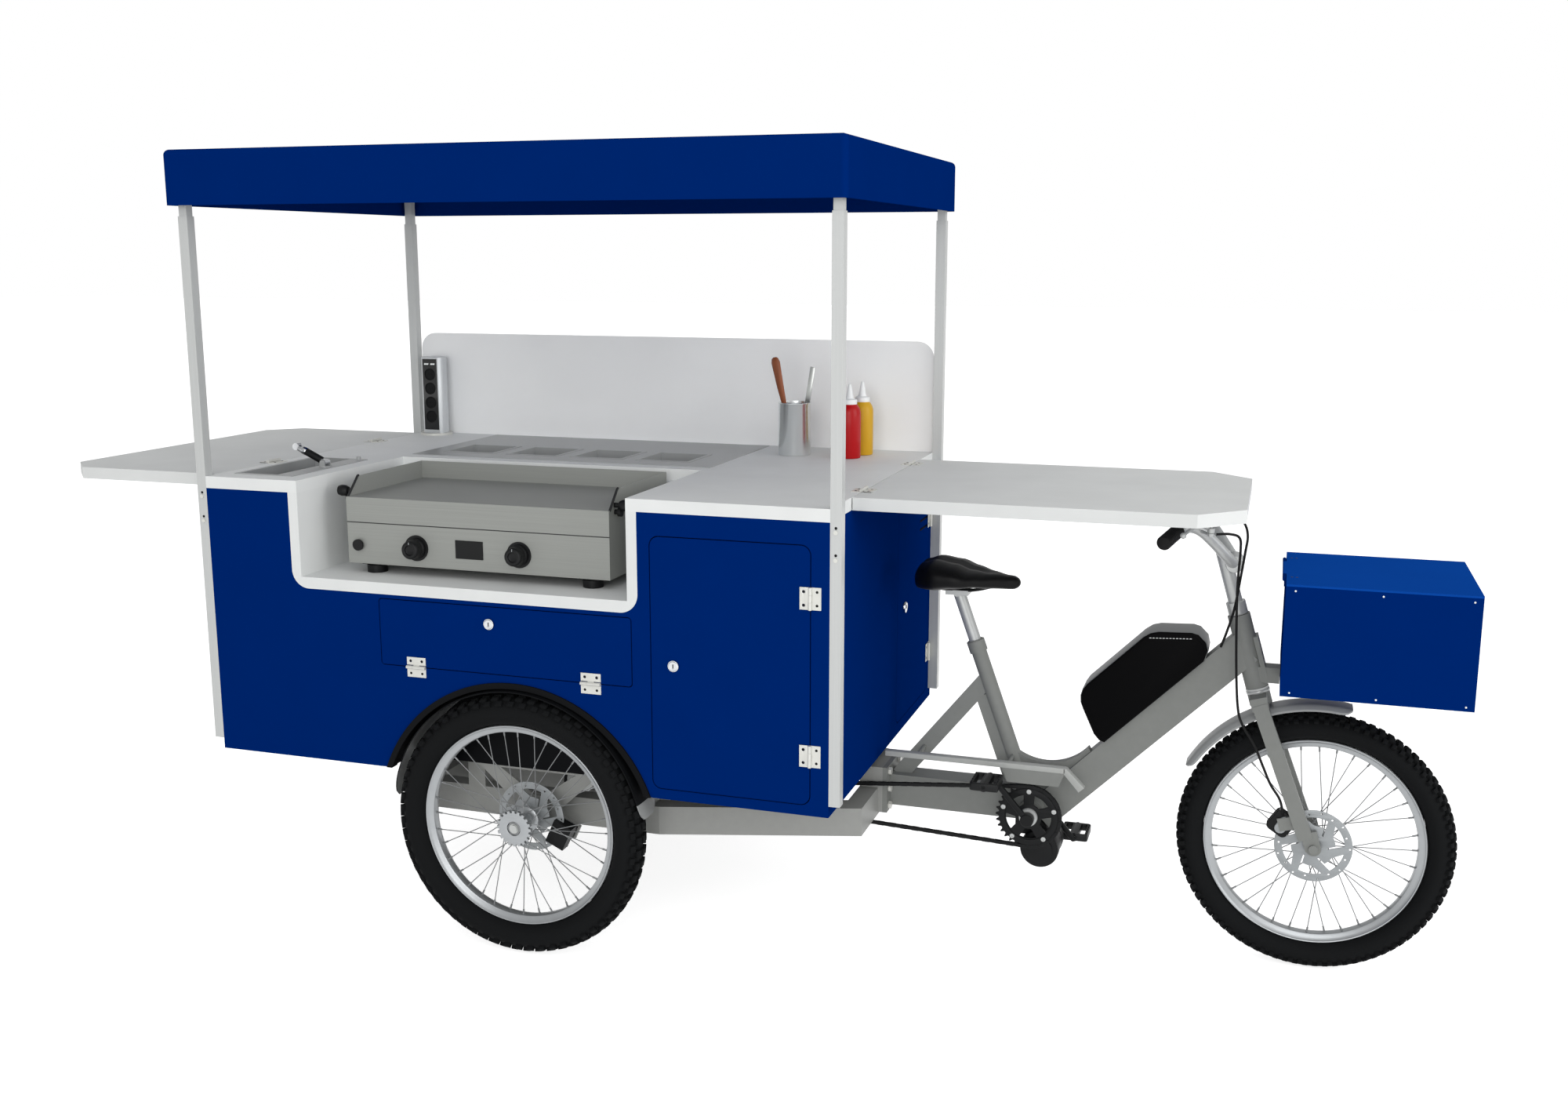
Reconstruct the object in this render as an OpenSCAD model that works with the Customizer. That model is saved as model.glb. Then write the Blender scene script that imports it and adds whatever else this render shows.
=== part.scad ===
// Bicycle food cart: a pedal tricycle that carries a cabinet kitchen under a lifting canopy.
// X runs forward, Y to the left, Z up; the wheels stand on Z = 0.
// Lengths are in millimetres, and the working X runs forward from the cabinet's rear wall.

/* [Cabinet] */
// From the rear wall to the sink's rim
end_margin = 34; // [20:1:80]
// Length of the sink's rim
sink_l = 144; // [120:1:200]
// From the sink's rim to the cooking bay
sink_gap = 22; // [10:1:60]
// Clear length of the cooking bay
bay_w = 736; // [680:1:820]
// Thickness of the cooking bay's boards
bay_t = 22; // [16:0.5:26]
// From the cooking bay to the side door
bay_gap = 25; // [16:1:60]
// Length of the side door's opening
door_w = 325; // [280:1:420]
// From the side door's opening to the front wall
door_edge = 36; // [30:1:60]
// Width of the cabinet over its side panels
cab_w = 874; // [850:1:900]
// Thickness of the side, end and floor panels
panel_t = 12; // [10:0.5:15]
// Thickness of the worktop and of both tables
board_t = 25; // [20:0.5:30]
// Width of the joint round doors and flap
door_gap = 2; // [1.5:0.1:3]
// Corner radius of the doors and the flap
door_r = 20; // [10:1:30]
// From the cabinet's underside to the doors
door_foot = 20; // [14:1:40]
// From the side door up to the worktop
side_door_head = 44; // [30:1:80]
// Height of the drop flap's opening
flap_h = 141; // [110:1:180]
// Length of the drop flap's opening
flap_l = 563; // [420:1:600]
// From the wheel arch up to the drop flap
flap_land = 22; // [20:1:40]
// From the drop flap up to the bay's shelf
flap_head = 8; // [6:1:20]
// Width of the front door's opening
front_door_w = 305; // [260:1:340]
// From the front door's hinge edge to the left face of the cabinet
front_door_edge = 39; // [37:1:60]

/* [Cooking bay] */
// Thickness of the bay's shelf
shelf_t = 24; // [18:0.5:30]
// From the worktop's face down to the shelf
bay_drop = 201; // [180:1:240]
// From the bay's back face to the cart's middle
bay_back_y = 30; // [20:1:60]
// Corner radius of the bay's mouth
bay_r = 38; // [20:1:50]
// Width of the griddle
griddle_w = 600; // [540:1:640]
// Depth of the griddle
griddle_d = 300; // [260:1:320]
// Height of the griddle's body
griddle_h = 140; // [120:1:150]
// Height of the griddle's feet
foot_h = 21; // [15:1:30]
// From the bay's back board to the griddle
griddle_back = 34; // [20:1:60]
// Height of the griddle's splash guard
guard_h = 38; // [25:1:60]
// Thickness of the griddle's sheet
griddle_sheet = 2; // [1.5:0.1:3]
// Radius of a griddle knob
knob_r = 22; // [16:0.5:25]
// Length of a griddle knob
knob_l = 28; // [20:1:36]
// From the griddle's middle back to the left knob
knob_left_x = 136; // [110:1:160]
// From the griddle's middle on to the right knob
knob_right_x = 100; // [80:1:160]
// From the griddle's underside up to the knobs
knob_up = 40; // [34:1:60]

/* [Worktop fittings] */
// Width of the sink's rim
sink_w = 280; // [200:1:320]
// Length of the sink's bowl
bowl_l = 96; // [80:1:100]
// Depth of the sink's bowl
bowl_depth = 110; // [90:1:160]
// Radius of the power tower
tower_r = 31.5; // [28:0.5:34]
// Height of the raised power tower
tower_up = 200; // [160:1:220]
// Length of the power tower
tower_l = 400; // [360:1:430]
// Length of a food pan's opening
pan_l = 120; // [100:1:130]
// Width of a food pan's opening
pan_w = 130; // [110:1:150]
// Depth of a food pan
pan_depth = 100; // [65:1:150]
// Spacing of the food pans
pan_pitch = 163.5; // [160:0.5:168]
// Height of the back screen
screen_h = 258; // [200:1:320]
// Thickness of the back screen
screen_t = 4; // [3:0.5:6]
// Diameter of the utensil pot
pot_d = 75; // [60:1:90]
// Height of the utensil pot
pot_h = 122; // [90:1:150]
// Diameter of a sauce bottle
bottle_d = 52; // [44:1:58]
// Height of a sauce bottle's body
bottle_h = 124; // [100:1:150]

/* [Tables] */
// Length of the front table
front_table_l = 725; // [640:1:760]
// Width of the front table
front_table_w = 584; // [480:1:640]
// Corner cut of the front table
front_cut = 83; // [60:1:120]
// Length of the rear table
rear_table_l = 418; // [360:1:480]
// Width of the rear table
rear_table_w = 804; // [700:1:810]
// Corner cut of the rear table
rear_cut = 68; // [40:1:100]
// From the middle to a table hinge
table_hinge_y = 205; // [140:1:230]
// Reach of the rear table's brackets
bracket_l = 300; // [200:1:330]
// Depth of the rear table's brackets
bracket_h = 46; // [30:1:80]

/* [Canopy] */
// Width of the canopy
canopy_w = 920; // [890:1:930]
// Overhang of the canopy past each end wall
canopy_over = 34; // [30:1:60]
// From the worktop up to the canopy's lower edge
canopy_rise = 554; // [500:1:650]
// Height of the canopy
canopy_h = 110; // [90:1:140]
// Thickness of the canopy's shell
canopy_wall = 4; // [3:0.5:6]
// Edge radius of the canopy
canopy_r = 12; // [8:1:20]
// Width of the square post sleeves
post_w = 22; // [20:0.5:25]
// Wall of the square post sleeves
post_wall = 1.5; // [1.2:0.1:2]
// Sliding clearance of the inner posts
post_fit = 0.3; // [0.2:0.05:0.4]
// Wall of the inner posts
inner_wall = 1.6; // [1.2:0.1:2]
// From the canopy's lower edge down to the sleeves
sleeve_gap = 21; // [10:1:40]
// Length of the inner posts inside the sleeves
post_engage = 620; // [560:1:700]

/* [Hinges and locks] */
// Length of a hinge
hinge_l = 43; // [34:1:55]
// Width of a hinge leaf
leaf_w = 21; // [16:1:21]
// Thickness of a hinge leaf
leaf_t = 1.6; // [1.2:0.1:2]
// Radius of a hinge knuckle
knuckle_r = 3.5; // [3:0.1:4]
// Radius of a hinge pin
pin_r = 1.6; // [1.2:0.1:2]
// Running clearance of pins and shafts
run_fit = 0.06; // [0.03:0.01:0.09]
// Small clearance between pieces that move past each other
slip = 0.3; // [0.2:0.05:0.5]
// Radius of a lock's barrel
lock_r = 9; // [7:0.5:11]

/* [Wheels] */
// Radius of the rear wheels over their tyres
rear_r = 274; // [262:1:282]
// Width of a rear tyre
rear_tyre_w = 70; // [62:1:72]
// Radius of the front wheel over its tyre
front_r = 266; // [256:1:272]
// Width of the front tyre
front_tyre_w = 62; // [54:1:66]
// Outer radius of the rims
rim_r = 212; // [206:1:216]
// Width of the rims
rim_w = 34; // [28:1:38]
// Wall of the tyres
tyre_wall = 5; // [4:0.5:7]
// Number of spokes in a wheel
spoke_n = 36; // [24:4:36]
// Radius of a spoke
spoke_r = 1; // [0.9:0.1:1.4]
// Radius of a brake disc
disc_r = 74; // [66:1:80]
// Thickness of a brake disc
disc_t = 2; // [1.6:0.1:2.4]
// From the cart's middle to a rear wheel's middle
rear_wheel_y = 430; // [428:1:445]
// Radius of the wheel arches
arch_r = 310; // [302:1:320]
// Drop of the arch's centre below the axle
arch_drop = 20; // [12:1:22]
// From the arch to the side door's opening
arch_land = 12; // [6:1:30]
// From the arch's middle on to the axle
axle_fore = 6; // [0:1:8]
// Radius of the rear axle
axle_r = 10; // [8:0.5:12]

/* [Chassis] */
// Height of the frame rails
rail_h = 60; // [55:1:70]
// Width of the frame rails
rail_w = 40; // [30:1:46]
// Half the frame's width at the wheels
rail_half = 312; // [300:1:318]
// Half the frame's width at the front
nose_half = 192; // [180:1:210]
// From the axle down to the rails' underside
axle_drop = 37; // [34:1:48]
// From the rails up to the cabinet's floor
riser_h = 68; // [60:1:90]
// From the rear wall to the frame's rear end
frame_rear = 395; // [365:1:425]
// Length of the frame's tapered nose
nose_l = 401; // [340:1:420]

/* [Bike frame] */
// From the front wall to the crank
crank_out = 325; // [300:1:340]
// From the rails' underside up to the crank
crank_up = 38; // [34:1:50]
// From the crank on to the steering tube's middle
head_out = 413; // [400:1:450]
// From the crank up to the steering tube's middle
head_up = 371; // [360:1:385]
// Tilt of the steering axis
head_tilt = 16.5; // [14:0.5:19]
// Length of the steering tube
head_l = 150; // [130:1:160]
// Diameter of the steering tube
head_d = 44; // [40:0.5:48]
// Radius of the steerer
steerer_r = 14.3; // [12.7:0.1:15]
// Offset of the front axle ahead of the steering axis
rake = 32; // [24:1:40]
// From the wheel's middle to a fork blade's middle
blade_y = 48; // [46:1:54]
// Height of the main beam
beam_h = 68; // [60:1:78]
// Width of the main beam
beam_w = 60; // [50:1:70]
// Depth of the down tube
down_h = 66; // [56:1:70]
// Width of the down tube
down_w = 40; // [34:1:46]
// Tilt of the seat tube
seat_tilt = 20; // [17:0.5:22]
// Outer diameter of the seat tube
seat_tube_d = 31.8; // [30:0.1:35]
// Diameter of the seat post
seat_post_d = 25.4; // [24:0.1:27.2]
// Length of the seat tube up from the crank's height
seat_tube_l = 372; // [340:1:400]
// Height of the seat clamp along the seat tube's line
seat_up = 479; // [455:1:495]
// Length of the seat post inside its tube
seat_in = 170; // [130:1:180]
// Length of the saddle
saddle_l = 222; // [190:1:250]
// Width of the saddle
saddle_w = 170; // [140:1:190]

/* [Drive] */
// Length of a crank
crank_l = 118; // [100:1:125]
// Angle of the right crank above the forward line
crank_angle = 131; // [90:1:170]
// Pitch radius of the chainring
ring_r = 65; // [60:0.5:70]
// From the cart's middle to the front chain
chain_y = 72; // [70:1:76]
// From the cart's middle to the rear chain
rear_chain_y = 150; // [140:1:160]
// Pitch radius of the gear hub's input sprocket
in_r = 32.5; // [28:0.5:36]
// Pitch radius of the gear hub's output sprocket
out_r = 20; // [18:0.5:24]
// Pitch radius of the axle's sprocket
axle_ring_r = 36; // [32:0.5:40]
// Half the height of the chains
chain_half = 4; // [3.5:0.1:4.5]
// Width of the chains
chain_w = 8; // [7:0.5:9]
// From the front wall back to the gear hub
gear_back = 166; // [140:1:190]
// Radius of the motor
motor_r = 40; // [36:1:46]
// Width of the motor
motor_w = 92; // [80:1:96]

/* [Front box] */
// Length of the front box
box_l = 337; // [280:1:360]
// Width of the front box
box_w = 332; // [280:1:380]
// Height of the front box with its lid
box_h = 215; // [180:1:240]
// Wall of the front box
box_wall = 3; // [2.5:0.1:4]
// Thickness of the lid
lid_t = 4; // [3:0.5:6]
// From the steering tube's middle on to the box
box_out = 63; // [58:1:80]
// From the steering tube's middle down to the box's floor
box_down = 43; // [30:1:45]

/* [Handlebar] */
// Radius of the handlebar
bar_r = 11; // [10:0.5:12]
// Radius of the grips
grip_r = 14; // [13.5:0.1:15]
// Length of the grips
grip_l = 100; // [80:1:110]

/* [Hidden] */
$fn = 48;
eps = 0.5;

// Places along the cabinet
sink_x1 = end_margin + sink_l;
bay_x0 = sink_x1 + sink_gap + bay_t;
bay_x1 = bay_x0 + bay_w;
door_x0 = bay_x1 + bay_t + bay_gap;
door_x1 = door_x0 + door_w;
cab_l = door_x1 + door_edge;
half_w = cab_w / 2;
inner_y = half_w - panel_t;

// Heights, stacked up from the wheels
axle_z = rear_r;
rail_z0 = axle_z - axle_drop;
rail_z1 = rail_z0 + rail_h;
cab_z0 = rail_z1 + riser_h;
floor_z1 = cab_z0 + panel_t;
arch_z = axle_z - arch_drop;
flap_z0 = arch_z + arch_r + flap_land;
flap_z1 = flap_z0 + flap_h;
shelf_z0 = flap_z1 + flap_head;
shelf_z = shelf_z0 + shelf_t;
cab_top = shelf_z + bay_drop;
board_z0 = cab_top - board_t;
door_z0 = cab_z0 + door_foot;
side_door_z1 = board_z0 - side_door_head;
front_door_z1 = board_z0 - side_door_head + 14;

// Wheels and arches
arch_half = sqrt(arch_r * arch_r - (cab_z0 - arch_z) * (cab_z0 - arch_z));
arch_x = door_x0 - arch_land - arch_half;
axle_x = arch_x + axle_fore;
arch_shell = 3;
arch_in_y = 352;
flap_x0 = arch_x - 18.5 - flap_l / 2;
flap_x1 = flap_x0 + flap_l;
hub_y = rear_wheel_y;
guard_r = rear_r + 5;
guard_t = 2.5;
guard_w = 60;

// Griddle
bay_mid = (bay_x0 + bay_x1) / 2;
bay_back = -bay_back_y;
griddle_y1 = bay_back - bay_t - griddle_back + 22;
griddle_y0 = griddle_y1 - griddle_d;
griddle_z0 = shelf_z + foot_h;
griddle_z1 = griddle_z0 + griddle_h;
knob_z = griddle_z0 + knob_up;
igniter_x = bay_mid - griddle_w / 2 + 28;
igniter_r = 8;
knob_shaft_r = 4;
bezel_r = knob_r + 5;
bezel_t = 3;

// Bike
beam_x0 = cab_l + 20;
flange_t = 10;
bb_x = cab_l + crank_out;
bb_z = rail_z0 + crank_up;
beam_z0 = rail_z0 + 15;
beam_z1 = beam_z0 + beam_h;
bb_shell_r = 26;
bb_half = 46;
spindle_r = 9;
seat_foot_x = bb_x - 7;
head_x = bb_x + head_out;
head_z = bb_z + head_up;
hs = sin(head_tilt);
hc = cos(head_tilt);
axle_w = (front_r - head_z - rake * hs) / hc;
front_x = head_x + rake * hc - axle_w * hs;
foot_x = bb_x;
foot_z = bb_z - 28;
top_x = head_x - 10 * hs;
top_z = head_z + 10 * hc;
down_a = atan2(top_z - foot_z, top_x - foot_x);
down_l = sqrt(pow(top_x - foot_x, 2) + pow(top_z - foot_z, 2));
motor_x = bb_x + 20;
motor_z = bb_z - 80;
gear_x = cab_l - gear_back;
gear_z = rail_z0 + 26;
gear_shaft_r = 8;
box_x0 = head_x + box_out;
box_x1 = box_x0 + box_l;
box_z0 = head_z - box_down;
box_z1 = box_z0 + box_h;
lid_pin_x = box_x0 - knuckle_r - slip;
lid_pin_z = box_z1 - knuckle_r;

// Hinge axes stand proud of the faces they join
face = knuckle_r + slip;
origin_x = (front_x + front_r - rear_table_l) / 2;

// Shapes used again and again
module cart() { translate([-origin_x, 0, 0]) children(); }
module both() { children(); mirror([0, 1, 0]) children(); }
function unit(v) = v / norm(v);

// A round bar between two points
module rod(a, b, r) {
    v = b - a;
    translate(a) rotate([0, acos(v[2] / norm(v)), atan2(v[1], v[0])]) cylinder(r = r, h = norm(v));
}

// A box from one corner to the opposite one
module block(a, b) { translate(a) cube(b - a); }

// A flat rectangle with round corners, from one corner to the opposite one
module rounded(a, b, r) {
    translate([a[0] + r, a[1]]) square([b[0] - a[0] - 2 * r, b[1] - a[1]]);
    translate([a[0], a[1] + r]) square([b[0] - a[0], b[1] - a[1] - 2 * r]);
    for (x = [a[0] + r, b[0] - r], y = [a[1] + r, b[1] - r]) translate([x, y]) circle(r = r);
}

// An outline drawn in X and Z, given thickness along Y from y0 to y1
module along_y(y0, y1) {
    translate([0, y1, 0]) rotate([90, 0, 0]) linear_extrude(y1 - y0) children();
}

// An outline drawn in Y and Z, given thickness along X from x0 to x1
module along_x(x0, x1) {
    translate([x0, 0, 0]) rotate([90, 0, 90]) linear_extrude(x1 - x0) children();
}

// A drum across the cart, from y0 to y1
module drum(x, z, r, y0, y1) { translate([x, y1, z]) rotate([90, 0, 0]) cylinder(r = r, h = y1 - y0); }

// The steering tube's own frame, with its axis up
module head_frame() { translate([head_x, 0, head_z]) rotate([0, -head_tilt, 0]) children(); }
function head_pt(u, y, w) = [head_x + u * hc - w * hs, y, head_z + u * hs + w * hc];

// The seat tube's own frame, with its axis up
module seat_frame() { translate([seat_foot_x, 0, bb_z]) rotate([0, -seat_tilt, 0]) children(); }
function seat_pt(u, w) = [seat_foot_x + u * cos(seat_tilt) - w * sin(seat_tilt), 0,
    bb_z + u * sin(seat_tilt) + w * cos(seat_tilt)];

// The down tube's own frame: its length along X and its upper side along Z
module down_frame() { translate([foot_x, 0, foot_z]) rotate([0, -down_a, 0]) children(); }

// The fixed half of a hinge: pin along Z, leaf towards +X, and the face it lies on at +Y
module hinge_fixed() {
    seg = hinge_l / 3;
    for (s = [-1, 1]) translate([0, 0, s * seg]) cylinder(r = knuckle_r, h = seg, center = true);
    cylinder(r = pin_r, h = hinge_l, center = true);
    difference() {
        translate([0, face - leaf_t, -hinge_l / 2]) cube([leaf_w, leaf_t, hinge_l]);
        cylinder(r = knuckle_r + 2 * slip, h = seg + 2 * slip, center = true);
        hinge_screws(1);
    }
    for (s = [-1, 1]) translate([0, 0, s * seg - seg / 2]) cube([0.8 * knuckle_r, face, seg]);
}

// The moving half of a hinge, with its leaf towards -X
module hinge_moving() {
    seg = hinge_l / 3 - 2 * slip;
    difference() {
        union() {
            cylinder(r = knuckle_r, h = seg, center = true);
            difference() {
                translate([-leaf_w, face - leaf_t, -hinge_l / 2]) cube([leaf_w, leaf_t, hinge_l]);
                for (s = [-1, 1]) translate([0, 0, s * hinge_l / 3])
                    cylinder(r = face + slip + 0.5, h = hinge_l / 3 + 2 * slip, center = true);
                translate([-slip, 0, 0]) cube([2 * slip, 3 * face, hinge_l + 2], center = true);
            }
            translate([-0.8 * knuckle_r, 0, 0.3 - seg / 2]) cube([0.8 * knuckle_r - slip, face, seg - 0.6]);
        }
        cylinder(r = pin_r + run_fit, h = hinge_l, center = true);
        hinge_screws(-1);
    }
}

// Countersunk screw holes of one leaf
module hinge_screws(side) {
    for (s = [-1, 1]) translate([side * leaf_w * 0.62, face + 1, s * hinge_l * 0.3])
        rotate([90, 0, 0]) cylinder(r = 2.4, h = leaf_t + 2);
}

// A barrel lock: axis along -Y, its cam straight up behind the panel
module cam_lock(reach) {
    drum(0, 0, lock_r + 2, -5, -slip);
    drum(0, 0, lock_r - 3, -5, panel_t + slip + 3);
    block([-6, panel_t + slip, 0], [6, panel_t + slip + 3, reach]);
    drum(0, 0, 8, panel_t + slip, panel_t + slip + 3);
}

// Wheel pieces, with the axle along Z and the outer side at +Z
module tyre_ring(r, w) {
    mid = r - w / 2;
    difference() {
        rotate_extrude($fn = 96) difference() {
            translate([mid, 0]) circle(r = w / 2);
            translate([mid, 0]) circle(r = w / 2 - tyre_wall);
            translate([0, -w]) square([rim_r + 0.2, 2 * w]);
        }
    }
}

module rim_and_spokes(flange_r, flange_z) {
    rotate_extrude($fn = 96) polygon([[rim_r, -rim_w / 2], [rim_r, rim_w / 2], [rim_r - 8, rim_w / 2],
        [rim_r - 17, rim_w / 4], [rim_r - 17, -rim_w / 4], [rim_r - 8, -rim_w / 2]]);
    for (i = [0 : spoke_n - 1]) {
        a = i * 360 / spoke_n;
        s = i % 2 == 0 ? 1 : -1;
        rod([(flange_r - 4) * cos(a), (flange_r - 4) * sin(a), s * flange_z],
            [(rim_r - 14) * cos(a), (rim_r - 14) * sin(a), s * 3], spoke_r);
    }
}

module brake_disc() {
    difference() {
        cylinder(r = disc_r, h = disc_t, center = true);
        difference() {
            cylinder(r = disc_r - 14, h = 9, center = true);
            cylinder(r = 22, h = 10, center = true);
            for (a = [0 : 60 : 300]) rotate([0, 0, a]) translate([0, -5, -6]) cube([disc_r, 10, 12]);
        }
        for (a = [0 : 20 : 340]) rotate([0, 0, a]) translate([disc_r - 7, 0, 0])
            cylinder(r = 2.2, h = 9, center = true, $fn = 16);
    }
}

// A wheel hub: shell, flanges and disc seat
module rear_hub() {
    rim_and_spokes(27, 24);
    translate([0, 0, -26]) cylinder(r = 27, h = 4);
    translate([0, 0, 22]) cylinder(r = 27, h = 4);
    translate([0, 0, -62]) cylinder(r = 17, h = 92);
    translate([0, 0, -45]) brake_disc();
    translate([0, 0, 26]) cylinder(r = 31, h = 7);
    for (a = [0 : 18 : 342]) rotate([0, 0, a]) translate([28, -2.4, 26]) cube([6.5, 4.8, 7]);
}

// The two runs of a chain round two wheels: the smaller at the origin, the larger at distance d
module loop_outline(d, r1, r2) {
    a = acos((r2 - r1) / d);
    polygon(concat([for (i = [0 : 32]) r2 * [cos(a + i * (180 - a) / 16), sin(a + i * (180 - a) / 16)]],
        [for (i = [0 : 32]) [d, 0] + r1 * [cos(-a + i * a / 16), sin(-a + i * a / 16)]]));
}

module chain_loop(a, b, ra, rb, y) {
    d = norm(b - a);
    translate([a[0], -y + chain_w / 2, a[1]]) rotate([90, 0, 0]) rotate([0, 0, atan2(b[1] - a[1], b[0] - a[0])])
        linear_extrude(chain_w) difference() {
            loop_outline(d, rb + chain_half, ra + chain_half);
            loop_outline(d, rb - chain_half, ra - chain_half);
        }
}

// A smooth line through points, and a round cord along it
function spline(p, q, r, s, t) = 0.5 * (2 * q + (r - p) * t + (2 * p - 5 * q + 4 * r - s) * t * t
    + (3 * q - p - 3 * r + s) * t * t * t);
function smooth(p, k) = let (n = len(p)) concat([for (i = [0 : n - 2], j = [0 : k - 1])
    spline(p[max(i - 1, 0)], p[i], p[i + 1], p[min(i + 2, n - 1)], j / k)], [p[n - 1]]);

module cord(p, r, sides) {
    n = len(p);
    ref = [0.35, 0.9, 0.25];
    rings = [for (i = [0 : n - 1]) let (t = unit(p[min(i + 1, n - 1)] - p[max(i - 1, 0)]),
        u = unit(cross(t, ref)), v = cross(t, u))
        for (j = [0 : sides - 1]) p[i] + r * (cos(j * 360 / sides) * u + sin(j * 360 / sides) * v)];
    first = len(rings);
    faces = concat(
        [for (i = [0 : n - 2], j = [0 : sides - 1]) let (k = (j + 1) % sides)
            [i * sides + j, (i + 1) * sides + j, (i + 1) * sides + k]],
        [for (i = [0 : n - 2], j = [0 : sides - 1]) let (k = (j + 1) % sides)
            [i * sides + j, (i + 1) * sides + k, i * sides + k]],
        [for (j = [0 : sides - 1]) [first, j, (j + 1) % sides]],
        [for (j = [0 : sides - 1]) [first + 1, (n - 1) * sides + (j + 1) % sides, (n - 1) * sides + j]]);
    polyhedron(concat(rings, [p[0], p[n - 1]]), faces);
}

// Chassis
module frame_outline(inset) {
    x0 = frame_rear + inset;
    x1 = cab_l - nose_l - inset * 0.15;
    x2 = cab_l - inset;
    polygon([[x0, inset - rail_half], [x1, inset - rail_half], [x2, inset - nose_half], [x2, nose_half - inset],
        [x1, rail_half - inset], [x0, rail_half - inset]]);
}

module chassis_frame() {
    v_y0 = arch_in_y - 10;
    v_y1 = arch_in_y - 2;
    lift = cab_z0 - axle_z;
    color([0.55, 0.55, 0.54]) cart() difference() {
        union() {
            translate([0, 0, rail_z0]) linear_extrude(rail_h) difference() {
                frame_outline(0);
                frame_outline(rail_w);
            }
            block([axle_x + 160, -rear_chain_y + 24, rail_z0], [axle_x + 160 + rail_w, rail_half - 1, rail_z1]);
            block([frame_rear + 1, -rear_chain_y + 24, rail_z0], [axle_x + 180, -rear_chain_y + 38, rail_z1]);
            for (s = [-1, 1], x = [axle_x - 186, axle_x + 200])
                block([x, s * (rail_half - 20) - 20, rail_z1 - eps], [x + 40, s * (rail_half - 20) + 20, cab_z0]);
            for (s = [-1, 1])
                block([cab_l - 96, s * (nose_half - 8) - 22, rail_z1 - eps], [cab_l - 56, s * (nose_half - 8) + 22, cab_z0]);
            both() {
                translate([axle_x, 0, axle_z]) along_y(v_y0, v_y1) {
                    polygon([[-140, lift], [-96, lift], [0, 26], [96, lift], [140, lift], [20, -20], [-20, -20]]);
                    circle(r = 32);
                    rotate([0, 0, -25]) translate([0, -16]) square([disc_r + 22, 32]);
                }
                drum(axle_x, axle_z, 22, rail_half - eps, v_y0 + eps);
                block([axle_x - 150, v_y0 - 12, cab_z0 - 6], [axle_x + 150, v_y1, cab_z0]);
            }
            drum(axle_x, axle_z, axle_r, rail_half - rail_w, rear_wheel_y + 20);
            for (y = [-rear_chain_y - 22, -40])
                difference() {
                    block([gear_x - 24, y, gear_z - 22], [gear_x + 24, y + 6, cab_z0]);
                }
            block([gear_x - 24, -rear_chain_y - 22, cab_z0 - 6], [gear_x + 24, -34, cab_z0]);
            block([cab_l - eps, -60, rail_z0 + 6], [cab_l + flange_t, 60, rail_z0 + 106]);
            block([cab_l - rail_w, -60, rail_z1 - eps], [cab_l, 60, rail_z0 + 106]);
        }
        drum(axle_x, axle_z, axle_r + run_fit, -rear_wheel_y, -rear_chain_y + 60);
        drum(gear_x, gear_z, gear_shaft_r + run_fit, -rear_chain_y - 30, 0);
        for (y = [-42, 42], z = [18, 56, 94]) translate([cab_l - rail_w - 1, y, rail_z0 + z])
            rotate([0, 90, 0]) cylinder(r = 5.3, h = rail_w + flange_t + 2);
    }
}

module cabinet_floor() {
    notch = sqrt(pow(arch_r + arch_shell, 2) - pow(cab_z0 - arch_z, 2)) + slip;
    color([0.1, 0.11, 0.13]) cart() difference() {
        block([panel_t, -inner_y, cab_z0], [cab_l - panel_t, inner_y, floor_z1]);
        both() block([arch_x - notch, arch_in_y - slip, cab_z0 - 1], [arch_x + notch, inner_y + 1, floor_z1 + 1]);
    }
}

// Cabinet panels
module side_outline() {
    difference() {
        translate([0, cab_z0]) square([cab_l, board_z0 - cab_z0]);
        translate([arch_x, arch_z]) circle(r = arch_r, $fn = 96);
    }
}

module side_panel_right() {
    color([0, 0.14, 0.42]) cart() difference() {
        along_y(-half_w, -inner_y) difference() {
            side_outline();
            rounded([door_x0, door_z0], [door_x1, side_door_z1], door_r);
            rounded([flap_x0, flap_z0], [flap_x1, flap_z1], 8);
            rounded([bay_x0 - bay_t - 0.1, shelf_z0 - 0.1], [bay_x1 + bay_t + 0.1, board_z0 + 60], bay_r);
        }
    }
}

module side_panel_left() {
    color([0, 0.14, 0.42]) cart() along_y(inner_y, half_w) side_outline();
}

module end_panel_rear() {
    color([0.05, 0.19, 0.45]) cart() block([0, -inner_y, cab_z0], [panel_t, inner_y, board_z0]);
}

module front_door_outline(grow) {
    rounded([half_w - front_door_edge - front_door_w - grow, door_z0 + 5 - grow],
        [half_w - front_door_edge + grow, front_door_z1 + grow], door_r);
}

module end_panel_front() {
    color([0.05, 0.19, 0.45]) cart() along_x(cab_l - panel_t, cab_l) difference() {
        translate([-inner_y, cab_z0]) square([2 * inner_y, board_z0 - cab_z0]);
        front_door_outline(0);
    }
}

module worktop() {
    pans_w = 3 * pan_pitch + pan_l + 30;
    color([0.74, 0.74, 0.74]) cart() difference() {
        block([0, -half_w, board_z0], [cab_l, half_w, cab_top]);
        block([bay_x0, -half_w - 1, board_z0 - 1], [bay_x1, bay_back, cab_top + 1]);
        block([pan_x0() - 15, pan_y0() - 15, board_z0 - 1], [pan_x0() + pans_w - 15, pan_y0() + pan_w + 15, cab_top + 1]);
        block([end_margin + 5, sink_y0() + 3, board_z0 - 1], [end_margin + bowl_l + 11, sink_y0() + sink_w - 3, cab_top + 1]);
        translate([tower_x(), tower_y(), board_z0 - 1]) cylinder(r = tower_r + slip, h = board_t + 2);
    }
}

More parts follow.
